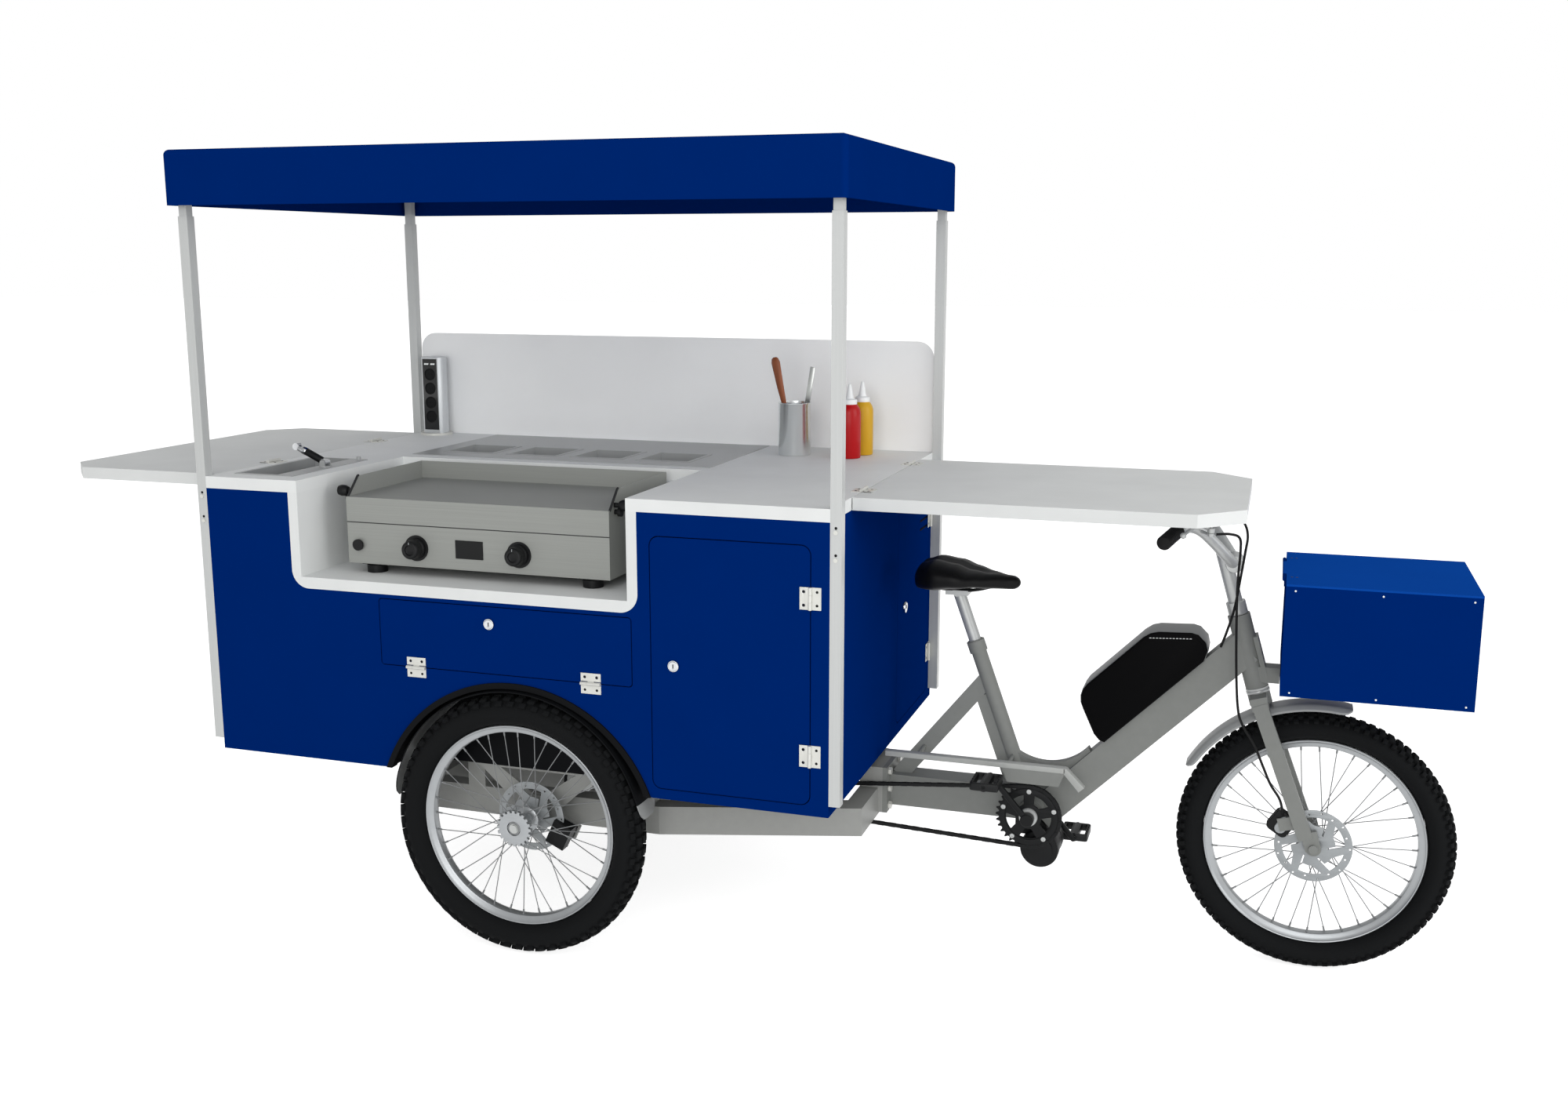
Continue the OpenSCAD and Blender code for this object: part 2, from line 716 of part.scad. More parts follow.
function sink_y0() = -half_w + 50;
function tower_x() = end_margin + 28;
function tower_y() = half_w - panel_t - tower_r - 3.5;
function pan_x0() = bay_mid - 10 - 1.5 * pan_pitch - pan_l / 2;
function pan_y0() = bay_back + bay_back_y + 75;

// A bay of boards sunk into the worktop, with a round-cornered mouth flush with the panel
module griddle_bay() {
    color([0.72, 0.72, 0.72]) cart() difference() {
        union() {
            along_y(-half_w, bay_back) intersection() {
                rounded([bay_x0 - bay_t, shelf_z0], [bay_x1 + bay_t, board_z0 + 2 * bay_r], bay_r);
                translate([bay_x0 - bay_t, shelf_z0]) square([bay_w + 2 * bay_t, board_z0 - shelf_z0]);
            }
        }
        block([bay_x0, -half_w - 1, shelf_z], [bay_x1, bay_back - bay_t, board_z0 + 1]);
    }
}

module wheel_arches() {
    color([0.06, 0.06, 0.07]) cart() both() translate([arch_x, 0, arch_z]) intersection() {
        union() {
            along_y(arch_in_y, inner_y) difference() {
                circle(r = arch_r + arch_shell, $fn = 96);
                circle(r = arch_r, $fn = 96);
            }
            along_y(arch_in_y, arch_in_y + arch_shell) circle(r = arch_r + arch_shell, $fn = 96);
            along_y(inner_y - eps, half_w + 4) difference() {
                circle(r = arch_r - 0.1, $fn = 96);
                circle(r = arch_r - 4, $fn = 96);
            }
            along_y(half_w, half_w + 4) difference() {
                circle(r = arch_r + 8, $fn = 96);
                circle(r = arch_r - 4, $fn = 96);
            }
            along_y(inner_y - 4, inner_y) difference() {
                circle(r = arch_r + arch_shell, $fn = 96);
                circle(r = arch_r - 4, $fn = 96);
            }
        }
        translate([-400, 0, cab_z0 - arch_z]) cube([800, 600, 500]);
    }
}

module rear_mudguards() {
    color([0.45, 0.46, 0.47]) cart() both() translate([axle_x, 0, axle_z]) {
        translate([0, rear_wheel_y, 0]) rotate([90, 0, 0]) rotate([0, 0, 8])
            rotate_extrude(angle = 166, $fn = 96) translate([guard_r, -guard_w / 2]) square([guard_t, guard_w]);
        for (a = [60, 120]) drum(guard_r * cos(a), guard_r * sin(a) + 1.2, 3, arch_in_y + arch_shell,
            rear_wheel_y - guard_w / 2 + 2);
    }
}

module back_screen() {
    y1 = half_w - 1;
    color([0.95, 0.95, 0.95]) cart() along_y(y1 - screen_t, y1) intersection() {
        rounded([4, cab_top - 90], [cab_l - 4, cab_top + screen_h], 40);
        translate([0, cab_top]) square([cab_l, screen_h + 1]);
    }
}

// Canopy posts
module post_places() {
    for (x = [-post_w, cab_l], s = [-1, 1]) translate([x, s < 0 ? -half_w : half_w - post_w, 0]) children();
}

module post_sleeves() {
    z0 = cab_z0 + 23;
    z1 = cab_top + canopy_rise - sleeve_gap;
    color([0.75, 0.76, 0.76]) cart() post_places() difference() {
        translate([0, 0, z0]) cube([post_w, post_w, z1 - z0]);
        translate([post_wall, post_wall, z0 - 1]) cube([post_w - 2 * post_wall, post_w - 2 * post_wall, z1 - z0 + 2]);
    }
}

module inner_posts() {
    w = post_w - 2 * post_wall - 2 * post_fit;
    off = post_wall + post_fit;
    top = cab_top + canopy_rise + canopy_h - canopy_wall - slip / 2;
    z0 = cab_top + canopy_rise - sleeve_gap - post_engage;
    color([0.7, 0.71, 0.71]) cart() {
        post_places() translate([off, off, z0]) difference() {
            cube([w, w, top - z0]);
            translate([inner_wall, inner_wall, -1]) cube([w - 2 * inner_wall, w - 2 * inner_wall, top - z0 - 18]);
        }
        for (x = [-post_w + off, cab_l + off])
            block([x, -half_w + off + w, top - w], [x + w, half_w - off - w, top]);
        for (s = [-1, 1]) translate([0, s < 0 ? -half_w + off : half_w - off - w, top - w])
            translate([off, 0, 0]) translate([-post_w + w, 0, 0]) cube([cab_l + post_w - w, w, w]);
    }
}

module canopy_solid(inset, z0, z1) {
    r = canopy_r - inset;
    hull() for (x = [-canopy_over + inset + r, cab_l + canopy_over - inset - r],
        y = [-canopy_w / 2 + inset + r, canopy_w / 2 - inset - r]) {
        translate([x, y, z0]) cylinder(r = r, h = 1, $fn = 24);
        translate([x, y, z1 - r]) sphere(r = r, $fn = 24);
    }
}

module canopy() {
    z0 = cab_top + canopy_rise;
    color([0, 0.14, 0.42]) cart() difference() {
        canopy_solid(0, z0, z0 + canopy_h);
        block([-canopy_over + canopy_wall, -canopy_w / 2 + canopy_wall, z0 - 1],
            [cab_l + canopy_over - canopy_wall, canopy_w / 2 - canopy_wall, z0 + canopy_h - canopy_r]);
        canopy_solid(canopy_wall, z0 - 2, z0 + canopy_h - canopy_wall);
    }
}

// Worktop fittings
module food_pans() {
    sheet = 1.5;
    lip = 6;
    wall = 1.2;
    x0 = bay_x0;
    y0 = bay_back + bay_back_y + 10;
    color([0.78, 0.79, 0.8]) cart() {
        difference() {
            block([x0, y0, cab_top], [bay_x1 + 4, half_w - 20, cab_top + sheet]);
            for (i = [0 : 3]) block([pan_x0() + i * pan_pitch, pan_y0(), cab_top - 1],
                [pan_x0() + i * pan_pitch + pan_l, pan_y0() + pan_w, cab_top + sheet + 1]);
        }
        for (i = [0 : 3]) translate([pan_x0() + i * pan_pitch, pan_y0(), 0]) difference() {
            union() {
                block([-lip, -lip, cab_top + sheet], [pan_l + lip, pan_w + lip, cab_top + sheet + wall]);
                block([slip, slip, cab_top - pan_depth], [pan_l - slip, pan_w - slip, cab_top + sheet + eps]);
            }
            block([wall + slip, wall + slip, cab_top - pan_depth + wall],
                [pan_l - wall - slip, pan_w - wall - slip, cab_top + 9]);
        }
    }
}

function tap_x() = sink_x1 - 20;
function tap_z() = cab_top + 11;
tap_y = -240;
tap_rise = 25;
tap_pin = 2.5;

module sink_basin() {
    wall = 1.5;
    bx0 = end_margin + 8;
    y0 = sink_y0();
    color([0.8, 0.81, 0.82]) cart() {
        difference() {
            union() {
                block([end_margin, y0, cab_top], [sink_x1, y0 + sink_w, cab_top + wall]);
                block([bx0, y0 + 6, cab_top - bowl_depth], [bx0 + bowl_l, y0 + sink_w - 6, cab_top + eps]);
            }
            block([bx0 + wall, y0 + 6 + wall, cab_top - bowl_depth + wall],
                [bx0 + bowl_l - wall, y0 + sink_w - 6 - wall, cab_top + 9]);
            translate([bx0 + bowl_l / 2, y0 + sink_w / 2, cab_top - bowl_depth - 1]) cylinder(r = 16, h = 4);
        }
        translate([tap_x(), tap_y, cab_top + wall - eps]) cylinder(r = 14, h = 2 + eps);
        for (s = [-1, 1]) translate([tap_x(), tap_y + s * 11, 0]) {
            block([-6, -1.5, cab_top + wall + 1], [6, 1.5, tap_z()]);
            drum(0, tap_z(), 6, -1.5, 1.5);
        }
        drum(tap_x(), tap_z(), tap_pin, tap_y - 12, tap_y + 12);
        translate([sink_x1 - 14, y0 + sink_w - 14, cab_top + wall - eps]) cylinder(r = 5, h = 8);
    }
}

module tap_spout() {
    tip = [tap_x() - 76 * cos(tap_rise), tap_y, tap_z() + 76 * sin(tap_rise)];
    color([0.85, 0.86, 0.87]) cart() difference() {
        union() {
            drum(tap_x(), tap_z(), 6.5, tap_y - 9, tap_y + 9);
            translate([tap_x(), 0, tap_z()]) along_y(tap_y - 5.5, tap_y + 5.5) rotate([0, 0, 180 - tap_rise])
                translate([0, -5]) square([76, 10]);
            drum(tip[0], tip[2], 8, tap_y - 7, tap_y + 7);
        }
        drum(tap_x(), tap_z(), tap_pin + run_fit, tap_y - 20, tap_y + 20);
    }
}

module power_tower() {
    color([0.7, 0.71, 0.72]) cart() translate([tower_x(), tower_y(), cab_top + tower_up - tower_l])
        cylinder(r = tower_r, h = tower_l);
}

module utensil_pot() {
    x = bay_x1 + 110;
    y = 287;
    color([0.8, 0.8, 0.81]) cart() translate([x, y, cab_top]) {
        difference() {
            cylinder(r = pot_d / 2, h = pot_h);
            translate([0, 0, 1.5]) cylinder(r = pot_d / 2 - 1.5, h = pot_h);
        }
        rod([14, -6, 8], [-30, -2, pot_h], 2.5);
        rod([-27, -2.3, pot_h - 8], [-66, 2, pot_h + 100], 7.5);
        rod([-12, 8, 8], [24, 4, pot_h + 2], 2.5);
        translate([23, 4, pot_h - 2]) rotate([0, 16, 0]) block([-14, -1, 0], [14, 1, 80]);
    }
}

module bottle(h) {
    r = bottle_d / 2;
    rotate_extrude() polygon([[0, 0], [r - 2, 0], [r, 2], [r, h - 12], [r - 4, h - 4], [16, h], [16, h + 8],
        [9, h + 12], [3, h + 46], [0, h + 46]]);
}

module sauce_bottles() {
    color([0.75, 0.08, 0.05]) cart() {
        translate([bay_x1 + 247, 268, cab_top]) bottle(bottle_h);
        translate([bay_x1 + 258, 337, cab_top]) bottle(bottle_h);
    }
}

// Griddle
module griddle_body() {
    x0 = bay_mid - griddle_w / 2;
    x1 = bay_mid + griddle_w / 2;
    t = griddle_sheet;
    color([0.6, 0.61, 0.6]) cart() difference() {
        union() {
            difference() {
                block([x0, griddle_y0, griddle_z0], [x1, griddle_y1, griddle_z1]);
                block([x0 + t, griddle_y0 + t, griddle_z0 - 1], [x1 - t, griddle_y1 - t, griddle_z1 - 8]);
            }
            block([x0, griddle_y1 - t, griddle_z1 - eps], [x1, griddle_y1, griddle_z1 + guard_h]);
            for (x = [x0, x1 - t]) along_x(x, x + t) polygon([[griddle_y0 + 8, griddle_z1 - eps],
                [griddle_y1, griddle_z1 - eps], [griddle_y1, griddle_z1 + guard_h], [griddle_y0 + 46, griddle_z1 + guard_h]]);
        }
        for (x = [bay_mid - knob_left_x, bay_mid + knob_right_x])
            drum(x, knob_z, knob_shaft_r + run_fit, griddle_y0 - 1, griddle_y0 + t + 1);
        drum(igniter_x, knob_z, igniter_r + run_fit, griddle_y0 - 1, griddle_y0 + t + 1);
    }
}

module griddle_fittings() {
    color([0.1, 0.1, 0.11]) cart() {
        for (x = [bay_mid - griddle_w / 2 + 50, bay_mid + griddle_w / 2 - 50],
            y = [griddle_y0 + 28, griddle_y1 - 28]) {
            translate([x, y, shelf_z]) cylinder(r = 21, h = foot_h - 5);
            translate([x, y, shelf_z]) cylinder(r = 15, h = foot_h);
            translate([x - 22, y - 22, griddle_z0 - 2.5]) cube([44, 44, 2.5]);
        }
        for (x = [bay_mid - knob_left_x, bay_mid + knob_right_x]) difference() {
            drum(x, knob_z, bezel_r, griddle_y0 - bezel_t, griddle_y0);
            drum(x, knob_z, knob_shaft_r + 1, griddle_y0 - 9, griddle_y0 + 1);
        }
        block([bay_mid - 45, griddle_y0 - 1.5, knob_z - 16], [bay_mid + 18, griddle_y0, knob_z + 22]);
        for (s = [-1, 1]) translate([bay_mid + s * griddle_w / 2, griddle_y0 + 30, griddle_z1 - 6])
            rotate([0, s * 90, 0]) {
                cylinder(r = 5, h = 12);
                translate([0, 0, 8]) cylinder(r = 9, h = 7);
            }
    }
}

module griddle_knob(x) {
    y1 = griddle_y0 - bezel_t - slip;
    drum(x, knob_z, knob_shaft_r, y1 - 4, griddle_y0 + griddle_sheet + 12);
    drum(x, knob_z, knob_r, y1 - 6, y1);
    drum(x, knob_z, knob_r - 3, y1 - knob_l + 4, y1);
    block([x - 4, y1 - knob_l, knob_z - knob_r + 4], [x + 4, y1 - 4, knob_z + knob_r - 4]);
}

module knob_left() { color([0.12, 0.12, 0.12]) cart() griddle_knob(bay_mid - knob_left_x); }

module knob_right() { color([0.12, 0.12, 0.12]) cart() griddle_knob(bay_mid + knob_right_x); }

module igniter_button() {
    color([0.12, 0.12, 0.12]) cart() {
        drum(igniter_x, knob_z, igniter_r, griddle_y0 - 9, griddle_y0 + griddle_sheet + 14);
        drum(igniter_x, knob_z, igniter_r + 4, griddle_y0 - 9, griddle_y0 - 5);
    }
}

// Doors, flap and locks
module side_door_hinges() {
    for (z = [door_z0 + 99, side_door_z1 - 101])
        translate([door_x1 - door_gap / 2, -half_w - face, z]) children();
}

function side_lock() = [door_x0 + 49, -half_w, (door_z0 + side_door_z1) / 2];

module side_door() {
    color([0, 0.14, 0.42]) cart() {
        difference() {
            along_y(-half_w, -inner_y) rounded([door_x0 + door_gap, door_z0 + door_gap],
                [door_x1 - door_gap, side_door_z1 - door_gap], door_r - door_gap);
            translate(side_lock()) drum(0, 0, lock_r - 3 + run_fit, -1, panel_t + 1);
        }
        side_door_hinges() hinge_moving();
    }
}

module side_door_lock() { color([0.85, 0.85, 0.86]) cart() translate(side_lock()) cam_lock(62); }

module flap_hinges() {
    for (x = [flap_x0 + 83, flap_x1 - 89])
        translate([x, -half_w - face, flap_z0 + door_gap / 2]) rotate([0, 90, 0]) children();
}

function flap_lock_at() = [flap_x0 + 254, -half_w, flap_z1 - 36];

module drop_flap() {
    color([0, 0.14, 0.42]) cart() {
        difference() {
            along_y(-half_w, -inner_y) rounded([flap_x0 + door_gap, flap_z0 + door_gap],
                [flap_x1 - door_gap, flap_z1 - door_gap], 6);
            translate(flap_lock_at()) drum(0, 0, lock_r - 3 + run_fit, -1, panel_t + 1);
        }
        flap_hinges() hinge_moving();
    }
}

module flap_lock() { color([0.85, 0.85, 0.86]) cart() translate(flap_lock_at()) rotate([0, -90, 0]) cam_lock(40); }

module front_door_hinges() {
    for (z = [door_z0 + 99, front_door_z1 - 95])
        translate([cab_l + face, half_w - front_door_edge - door_gap / 2, z]) rotate([0, 0, 90]) children();
}

function front_lock() = [cab_l, half_w - front_door_edge - front_door_w + 62, (door_z0 + front_door_z1) / 2];

module front_door() {
    color([0.05, 0.19, 0.45]) cart() {
        difference() {
            along_x(cab_l - panel_t, cab_l) front_door_outline(-door_gap);
            translate(front_lock()) rotate([0, 0, 90]) drum(0, 0, lock_r - 3 + run_fit, -1, panel_t + 1);
            for (i = [0 : 4]) translate([cab_l, half_w - front_door_edge - 55, front_door_z1 - 30 - i * 20])
                block([-panel_t - 1, -42, -3], [1, 42, 3]);
        }
        front_door_hinges() hinge_moving();
    }
}

module front_door_lock() {
    color([0.85, 0.85, 0.86]) cart() translate(front_lock()) rotate([0, 0, 90]) cam_lock(72);
}

// Folding tables
// A shallow pocket in a board below a hinge's knuckles
module knuckle_pocket() {
    translate([-face - 1, face - 1, -hinge_l / 2 - 1]) cube([2 * face, 3, hinge_l + 2]);
}

module front_table_hinges() {
    for (s = [-1, 1]) translate([cab_l + 1, s * table_hinge_y, cab_top + face]) rotate([-90, 0, 180]) children();
}

module front_table() {
    y = front_table_w / 2;
    x0 = cab_l + 2;
    x1 = cab_l + front_table_l;
    color([0.74, 0.74, 0.74]) cart() {
        difference() {
            translate([0, 0, board_z0]) linear_extrude(board_t) polygon([[x0, -y], [x1 - front_cut, -y],
                [x1, -y + front_cut], [x1, y - front_cut], [x1 - front_cut, y], [x0, y]]);
            front_table_hinges() knuckle_pocket();
        }
        front_table_hinges() hinge_moving();
    }
}

module rear_table_hinges() {
    for (s = [-1, 1]) translate([-1, s * table_hinge_y, cab_top + face]) rotate([-90, 0, 0]) children();
}

module rear_table() {
    y = rear_table_w / 2;
    x1 = -rear_table_l;
    color([0.74, 0.74, 0.74]) cart() {
        difference() {
            translate([0, 0, board_z0]) linear_extrude(board_t) polygon([[-2, -y], [-2, y], [x1 + rear_cut, y],
                [x1, y - rear_cut], [x1, -y + rear_cut], [x1 + rear_cut, -y]]);
            rear_table_hinges() knuckle_pocket();
        }
        rear_table_hinges() hinge_moving();
    }
}

// Hinge halves, brackets, collar and bolts that stay with the cart
module fixed_hardware() {
    color([0.8, 0.8, 0.78]) cart() {
        side_door_hinges() hinge_fixed();
        flap_hinges() hinge_fixed();
        front_door_hinges() hinge_fixed_short();
        front_table_hinges() hinge_fixed();
        rear_table_hinges() hinge_fixed();
        for (s = [-1, 1]) along_y(s * table_hinge_y - 2, s * table_hinge_y + 2)
            polygon([[0, board_z0], [-bracket_l, board_z0], [-bracket_l, board_z0 - 6], [0, board_z0 - bracket_h]]);
        translate([tower_x(), tower_y(), cab_top]) difference() {
            cylinder(r = tower_r + 8.5, h = 6);
            translate([0, 0, -1]) cylinder(r = tower_r + slip / 2, h = 9);
        }
        for (x = [-post_w / 2, cab_l + post_w / 2], z = [board_z0 - 18, board_z0 - 70]) {
            drum(x, z, 4, -half_w - 3, -half_w);
            drum(x, z, 4, half_w, half_w + 3);
        }
        for (y = [-42, 42], z = [18, 56, 94]) translate([cab_l, y, rail_z0 + z]) rotate([0, 90, 0]) {
            cylinder(r = 5, h = 2 * flange_t);
            translate([0, 0, 2 * flange_t]) cylinder(r = 8.5, h = 6, $fn = 6);
        }
    }
}

// A fixed leaf that fits between the door and the post
module hinge_fixed_short() {
    intersection() {
        hinge_fixed();
        translate([-20, -20, -hinge_l]) cube([20 + front_door_edge - post_w - 0.5, 40, 2 * hinge_l]);
    }
}

// Bike frame
module bike_frame() {
    stay = seat_pt(0, 286);
    stay_x = beam_x0 + 17;
    bar_z = bb_z + 103;
    bend_x = bb_x + 72;
    color([0.55, 0.55, 0.54]) cart() difference() {
        union() {
            block([cab_l + flange_t, -60, rail_z0 + 6], [beam_x0, 60, rail_z0 + 106]);
            block([beam_x0 - eps, -beam_w / 2, beam_z0], [bb_x - 10, beam_w / 2, beam_z1]);
            drum(bb_x, bb_z, bb_shell_r, -bb_half, bb_half);
            seat_frame() cylinder(r = seat_tube_d / 2, h = seat_tube_l);
            seat_frame() translate([0, 0, seat_tube_l - 26]) cylinder(r = seat_tube_d / 2 + 3, h = 24);
            down_frame() translate([18, -down_w / 2, -down_h / 2]) cube([down_l - 18, down_w, down_h]);
            head_frame() translate([0, 0, -head_l / 2]) cylinder(r = head_d / 2, h = head_l);
            translate([stay_x, 0, beam_z1 - 4]) rotate([0, atan2(stay[0] - stay_x, stay[2] - beam_z1 + 4), 0])
                translate([-17, -9, -4]) cube([34, 18, norm([stay[0] - stay_x, stay[2] - beam_z1 + 4])]);
            seat_frame() translate([-36, -8, 30]) cube([36, 16, 225]);
            along_y(-10, 10) difference() {
                polygon([[bb_x - 66, beam_z1 - 20], seat_flat(0, 140), [bb_x + 110, bb_z + 140],
                    [foot_x + 185 * cos(down_a), foot_z + 185 * sin(down_a)], [bb_x + 20, bb_z]]);
                translate([bb_x + 23, bb_z + 210]) circle(r = 111, $fn = 72);
            }
            block([beam_x0 + 8, -chain_y - 8, bar_z], [bend_x, -chain_y + 8, bar_z + 10]);
            along_y(-chain_y - 8, -chain_y - 4) polygon([[bb_x - 60, bar_z + 5], [bb_x - 46, bb_z + 73],
                [bend_x - 12, bb_z + 73], [bend_x, bar_z], [bend_x, bar_z + 5]]);
            along_y(-chain_y - 8, -chain_y + 7.5) polygon([[bend_x - 2, bar_z + 1], [bend_x - 2, bar_z + 9.5],
                [bend_x + 3, bar_z + 9], [bend_x + 39, bar_z - 27], [bend_x + 29, bar_z - 36]]);
            for (x = [stay_x + (bar_z + 5 - beam_z1) * (stay[0] - stay_x) / (stay[2] - beam_z1),
                seat_foot_x - (bar_z + 5 - bb_z) * tan(seat_tilt)]) drum(x, bar_z + 4.5, 4.5, -chain_y, 0);
            block([head_x + 16, -19, head_z - 59], [box_x0, 19, head_z - 28]);
            head_frame() translate([17, -20, -68]) cube([9, 40, 95]);
        }
        drum(motor_x, motor_z, motor_r + slip, -motor_w, motor_w);
        drum(bb_x, bb_z, spindle_r + run_fit, -90, 90);
        head_frame() translate([0, 0, -head_l]) cylinder(r = steerer_r + run_fit, h = 2 * head_l);
        seat_frame() translate([0, 0, 60]) cylinder(r = seat_post_d / 2 + run_fit, h = seat_tube_l);
        for (y = [-42, 42], z = [18, 56, 94]) translate([cab_l, y, rail_z0 + z])
            rotate([0, 90, 0]) cylinder(r = 5.3, h = 40);
    }
}

function seat_flat(u, w) = let (p = seat_pt(u, w)) [p[0], p[2]];

module battery() {
    n = down_h / 2;
    outline = [[237, n], [232, n + 12], [233, n + 30], [253, n + 89], [260, n + 104], [271, n + 116],
        [283, n + 123], [298, n + 127], [452, n + 127], [470, n + 124], [486, n + 115], [530, n + 68],
        [537, n + 54], [536, n + 28], [526, n + 12], [504, n]];
    color([0.09, 0.09, 0.1]) cart() intersection() {
        down_frame() along_y(-40, 40) polygon(outline);
        difference() {
            translate([bb_x - 400, -60, 0]) cube([1200, 120, 1200]);
            head_frame() translate([0, 0, -200]) cylinder(r = head_d / 2 + 6, h = 500);
        }
    }
}

module motor_unit() {
    color([0.08, 0.08, 0.09]) cart() difference() {
        union() {
            drum(motor_x, motor_z, motor_r, -motor_w / 2, motor_w / 2);
            drum(motor_x, motor_z, motor_r - 12, -motor_w / 2 - 4, motor_w / 2 + 2);
            along_y(-18, 18) polygon([[bb_x - 8, motor_z], [motor_x + 26, motor_z], [foot_x + 32, foot_z - 13],
                [bb_x + 4, bb_z - 14], [bb_x - 8, bb_z - 14]]);
        }
        drum(bb_x, bb_z, bb_shell_r + slip, -motor_w, motor_w);
    }
}

module chains() {
    color([0.12, 0.12, 0.13]) cart() {
        chain_loop([gear_x, gear_z], [bb_x, bb_z], in_r, ring_r, chain_y);
        rear_chain();
    }
}

// The rear chain's larger wheel is behind, so its loop is drawn the other way round
module rear_chain() {
    d = norm([gear_x - axle_x, gear_z - axle_z]);
    translate([gear_x, -rear_chain_y + chain_w / 2, gear_z]) rotate([90, 0, 0])
        rotate([0, 0, atan2(axle_z - gear_z, axle_x - gear_x)]) linear_extrude(chain_w) difference() {
            loop_outline(d, axle_ring_r + chain_half, out_r + chain_half);
            loop_outline(d, axle_ring_r - chain_half, out_r - chain_half);
        }
}

module front_box() {
    z1 = box_z1 - lid_t;
    y = box_w / 2;
    seg = box_w / 4;
    color([0, 0.14, 0.42]) cart() {
        difference() {
            block([box_x0, -y, box_z0], [box_x1, y, z1]);
            block([box_x0 + box_wall, -y + box_wall, box_z0 + box_wall],
                [box_x1 - box_wall, y - box_wall, z1 + 1]);
        }
        for (s = [-1, 1]) {
            drum(lid_pin_x, lid_pin_z, knuckle_r, s * seg - seg / 4, s * seg + seg / 4);
            block([lid_pin_x, s * seg - seg / 4, lid_pin_z - 14], [box_x0 + eps, s * seg + seg / 4, lid_pin_z - 1]);
        }
        drum(lid_pin_x, lid_pin_z, pin_r, -seg, seg);
    }
}

module box_lid() {
    y = box_w / 2;
    seg = box_w / 4;
    half = seg - seg / 4 - slip;
    color([0.05, 0.24, 0.54]) cart() difference() {
        union() {
            block([box_x0, -y, box_z1 - lid_t + 0.1], [box_x1, y, box_z1]);
            drum(lid_pin_x, lid_pin_z, knuckle_r, -half, half);
            block([lid_pin_x, -half, lid_pin_z], [box_x0 + eps, half, box_z1]);
        }
        drum(lid_pin_x, lid_pin_z, pin_r + run_fit, -y, y);
        block([box_x0 - 20, -half - 1, box_z0], [box_x0, half + 1, lid_pin_z - knuckle_r - 1]);
    }
}

module rear_calipers() {
    y = rear_wheel_y - 45;
    inside = rail_half + slip;
    color([0.08, 0.08, 0.09]) cart() both() translate([axle_x, 0, axle_z]) rotate([0, 25, 0]) difference() {
        union() {
            block([disc_r - 22, max(y - 14, inside), -26], [disc_r + 20, y + 12, 26]);
            block([disc_r - 4, max(arch_in_y - 2, inside), -14], [disc_r + 18, y - 8, 14]);
        }
        drum(0, 0, disc_r + 2, y - 2.5, y + 2.5);
        drum(0, 0, disc_r - 30, 0, 600);
    }
}

// Seat
module seat_post() {
    color([0.78, 0.79, 0.8]) cart() {
        seat_frame() translate([0, 0, seat_tube_l - seat_in]) cylinder(r = seat_post_d / 2, h = seat_up - seat_tube_l + seat_in);
        translate(seat_pt(0, seat_up)) {
            drum(0, 0, 7, -22, 22);
            block([-24, -24, -3], [24, 24, 7]);
        }
    }
}

// Saddle outline along its length: half width, top and underside
function saddle_half(t) = saddle_w / 2 * (t < 0.42 ? pow(sin(90 * min(1, t / 0.3 + 0.12)), 0.6)
    : 0.17 + 0.83 * pow(max(0, cos(90 * (t - 0.42) / 0.58)), 2.2)) * (t > 0.96 ? 0.75 : 1);
function saddle_top(t) = 50 + 10 * pow(sin(180 * min(1, max(0, 0.5 - t) * 1.6)), 1) - 44 * pow(max(0, t - 0.3), 1.25);
function saddle_low(t) = t < 0.5 ? 1 + 14 * t : 8 + 12 * (t - 0.5);

module saddle() {
    n = 18;
    m = 20;
    p = seat_pt(0, seat_up);
    x0 = p[0] - 93;
    z0 = p[2] + 10;
    rings = [for (i = [0 : n]) let (t = i / n, h = saddle_half(t), up = saddle_top(t), lo = saddle_low(t))
        for (j = [0 : m - 1]) let (a = j * 360 / m, c = cos(a), s = sin(a))
            [x0 + t * saddle_l, h * sign(c) * pow(abs(c), 0.8),
                z0 + (lo + up) / 2 + (up - lo) / 2 * sign(s) * pow(abs(s), 0.75) - (s > 0.3 && t < 0.7 ? 5 * pow(cos(a + 90), 12) : 0)]];
    k = len(rings);
    mid0 = [x0, 0, z0 + (saddle_low(0) + saddle_top(0)) / 2];
    mid1 = [x0 + saddle_l, 0, z0 + (saddle_low(1) + saddle_top(1)) / 2];
    faces = concat(
        [for (i = [0 : n - 1], j = [0 : m - 1]) let (q = (j + 1) % m) [i * m + j, (i + 1) * m + j, (i + 1) * m + q]],
        [for (i = [0 : n - 1], j = [0 : m - 1]) let (q = (j + 1) % m) [i * m + j, (i + 1) * m + q, i * m + q]],
        [for (j = [0 : m - 1]) [k, j, (j + 1) % m]],
        [for (j = [0 : m - 1]) [k + 1, n * m + (j + 1) % m, n * m + j]]);
    color([0.08, 0.08, 0.09]) cart() {
        polyhedron(concat(rings, [mid0, mid1]), faces);
        for (s = [-1, 1]) block([p[0] - 40, s * 20 - 3.5, p[2] + 7], [p[0] + 40, s * 20 + 3.5, p[2] + 19]);
    }
}

// Wheels
module place_rear(side) {
    if (side < 0) translate([axle_x, -rear_wheel_y, axle_z]) rotate([90, 0, 0]) children();
    else mirror([0, 1, 0]) translate([axle_x, -rear_wheel_y, axle_z]) rotate([90, 0, 0]) children();
}

module right_tyre() { color([0.1, 0.1, 0.11]) cart() place_rear(-1) tyre_ring(rear_r, rear_tyre_w); }

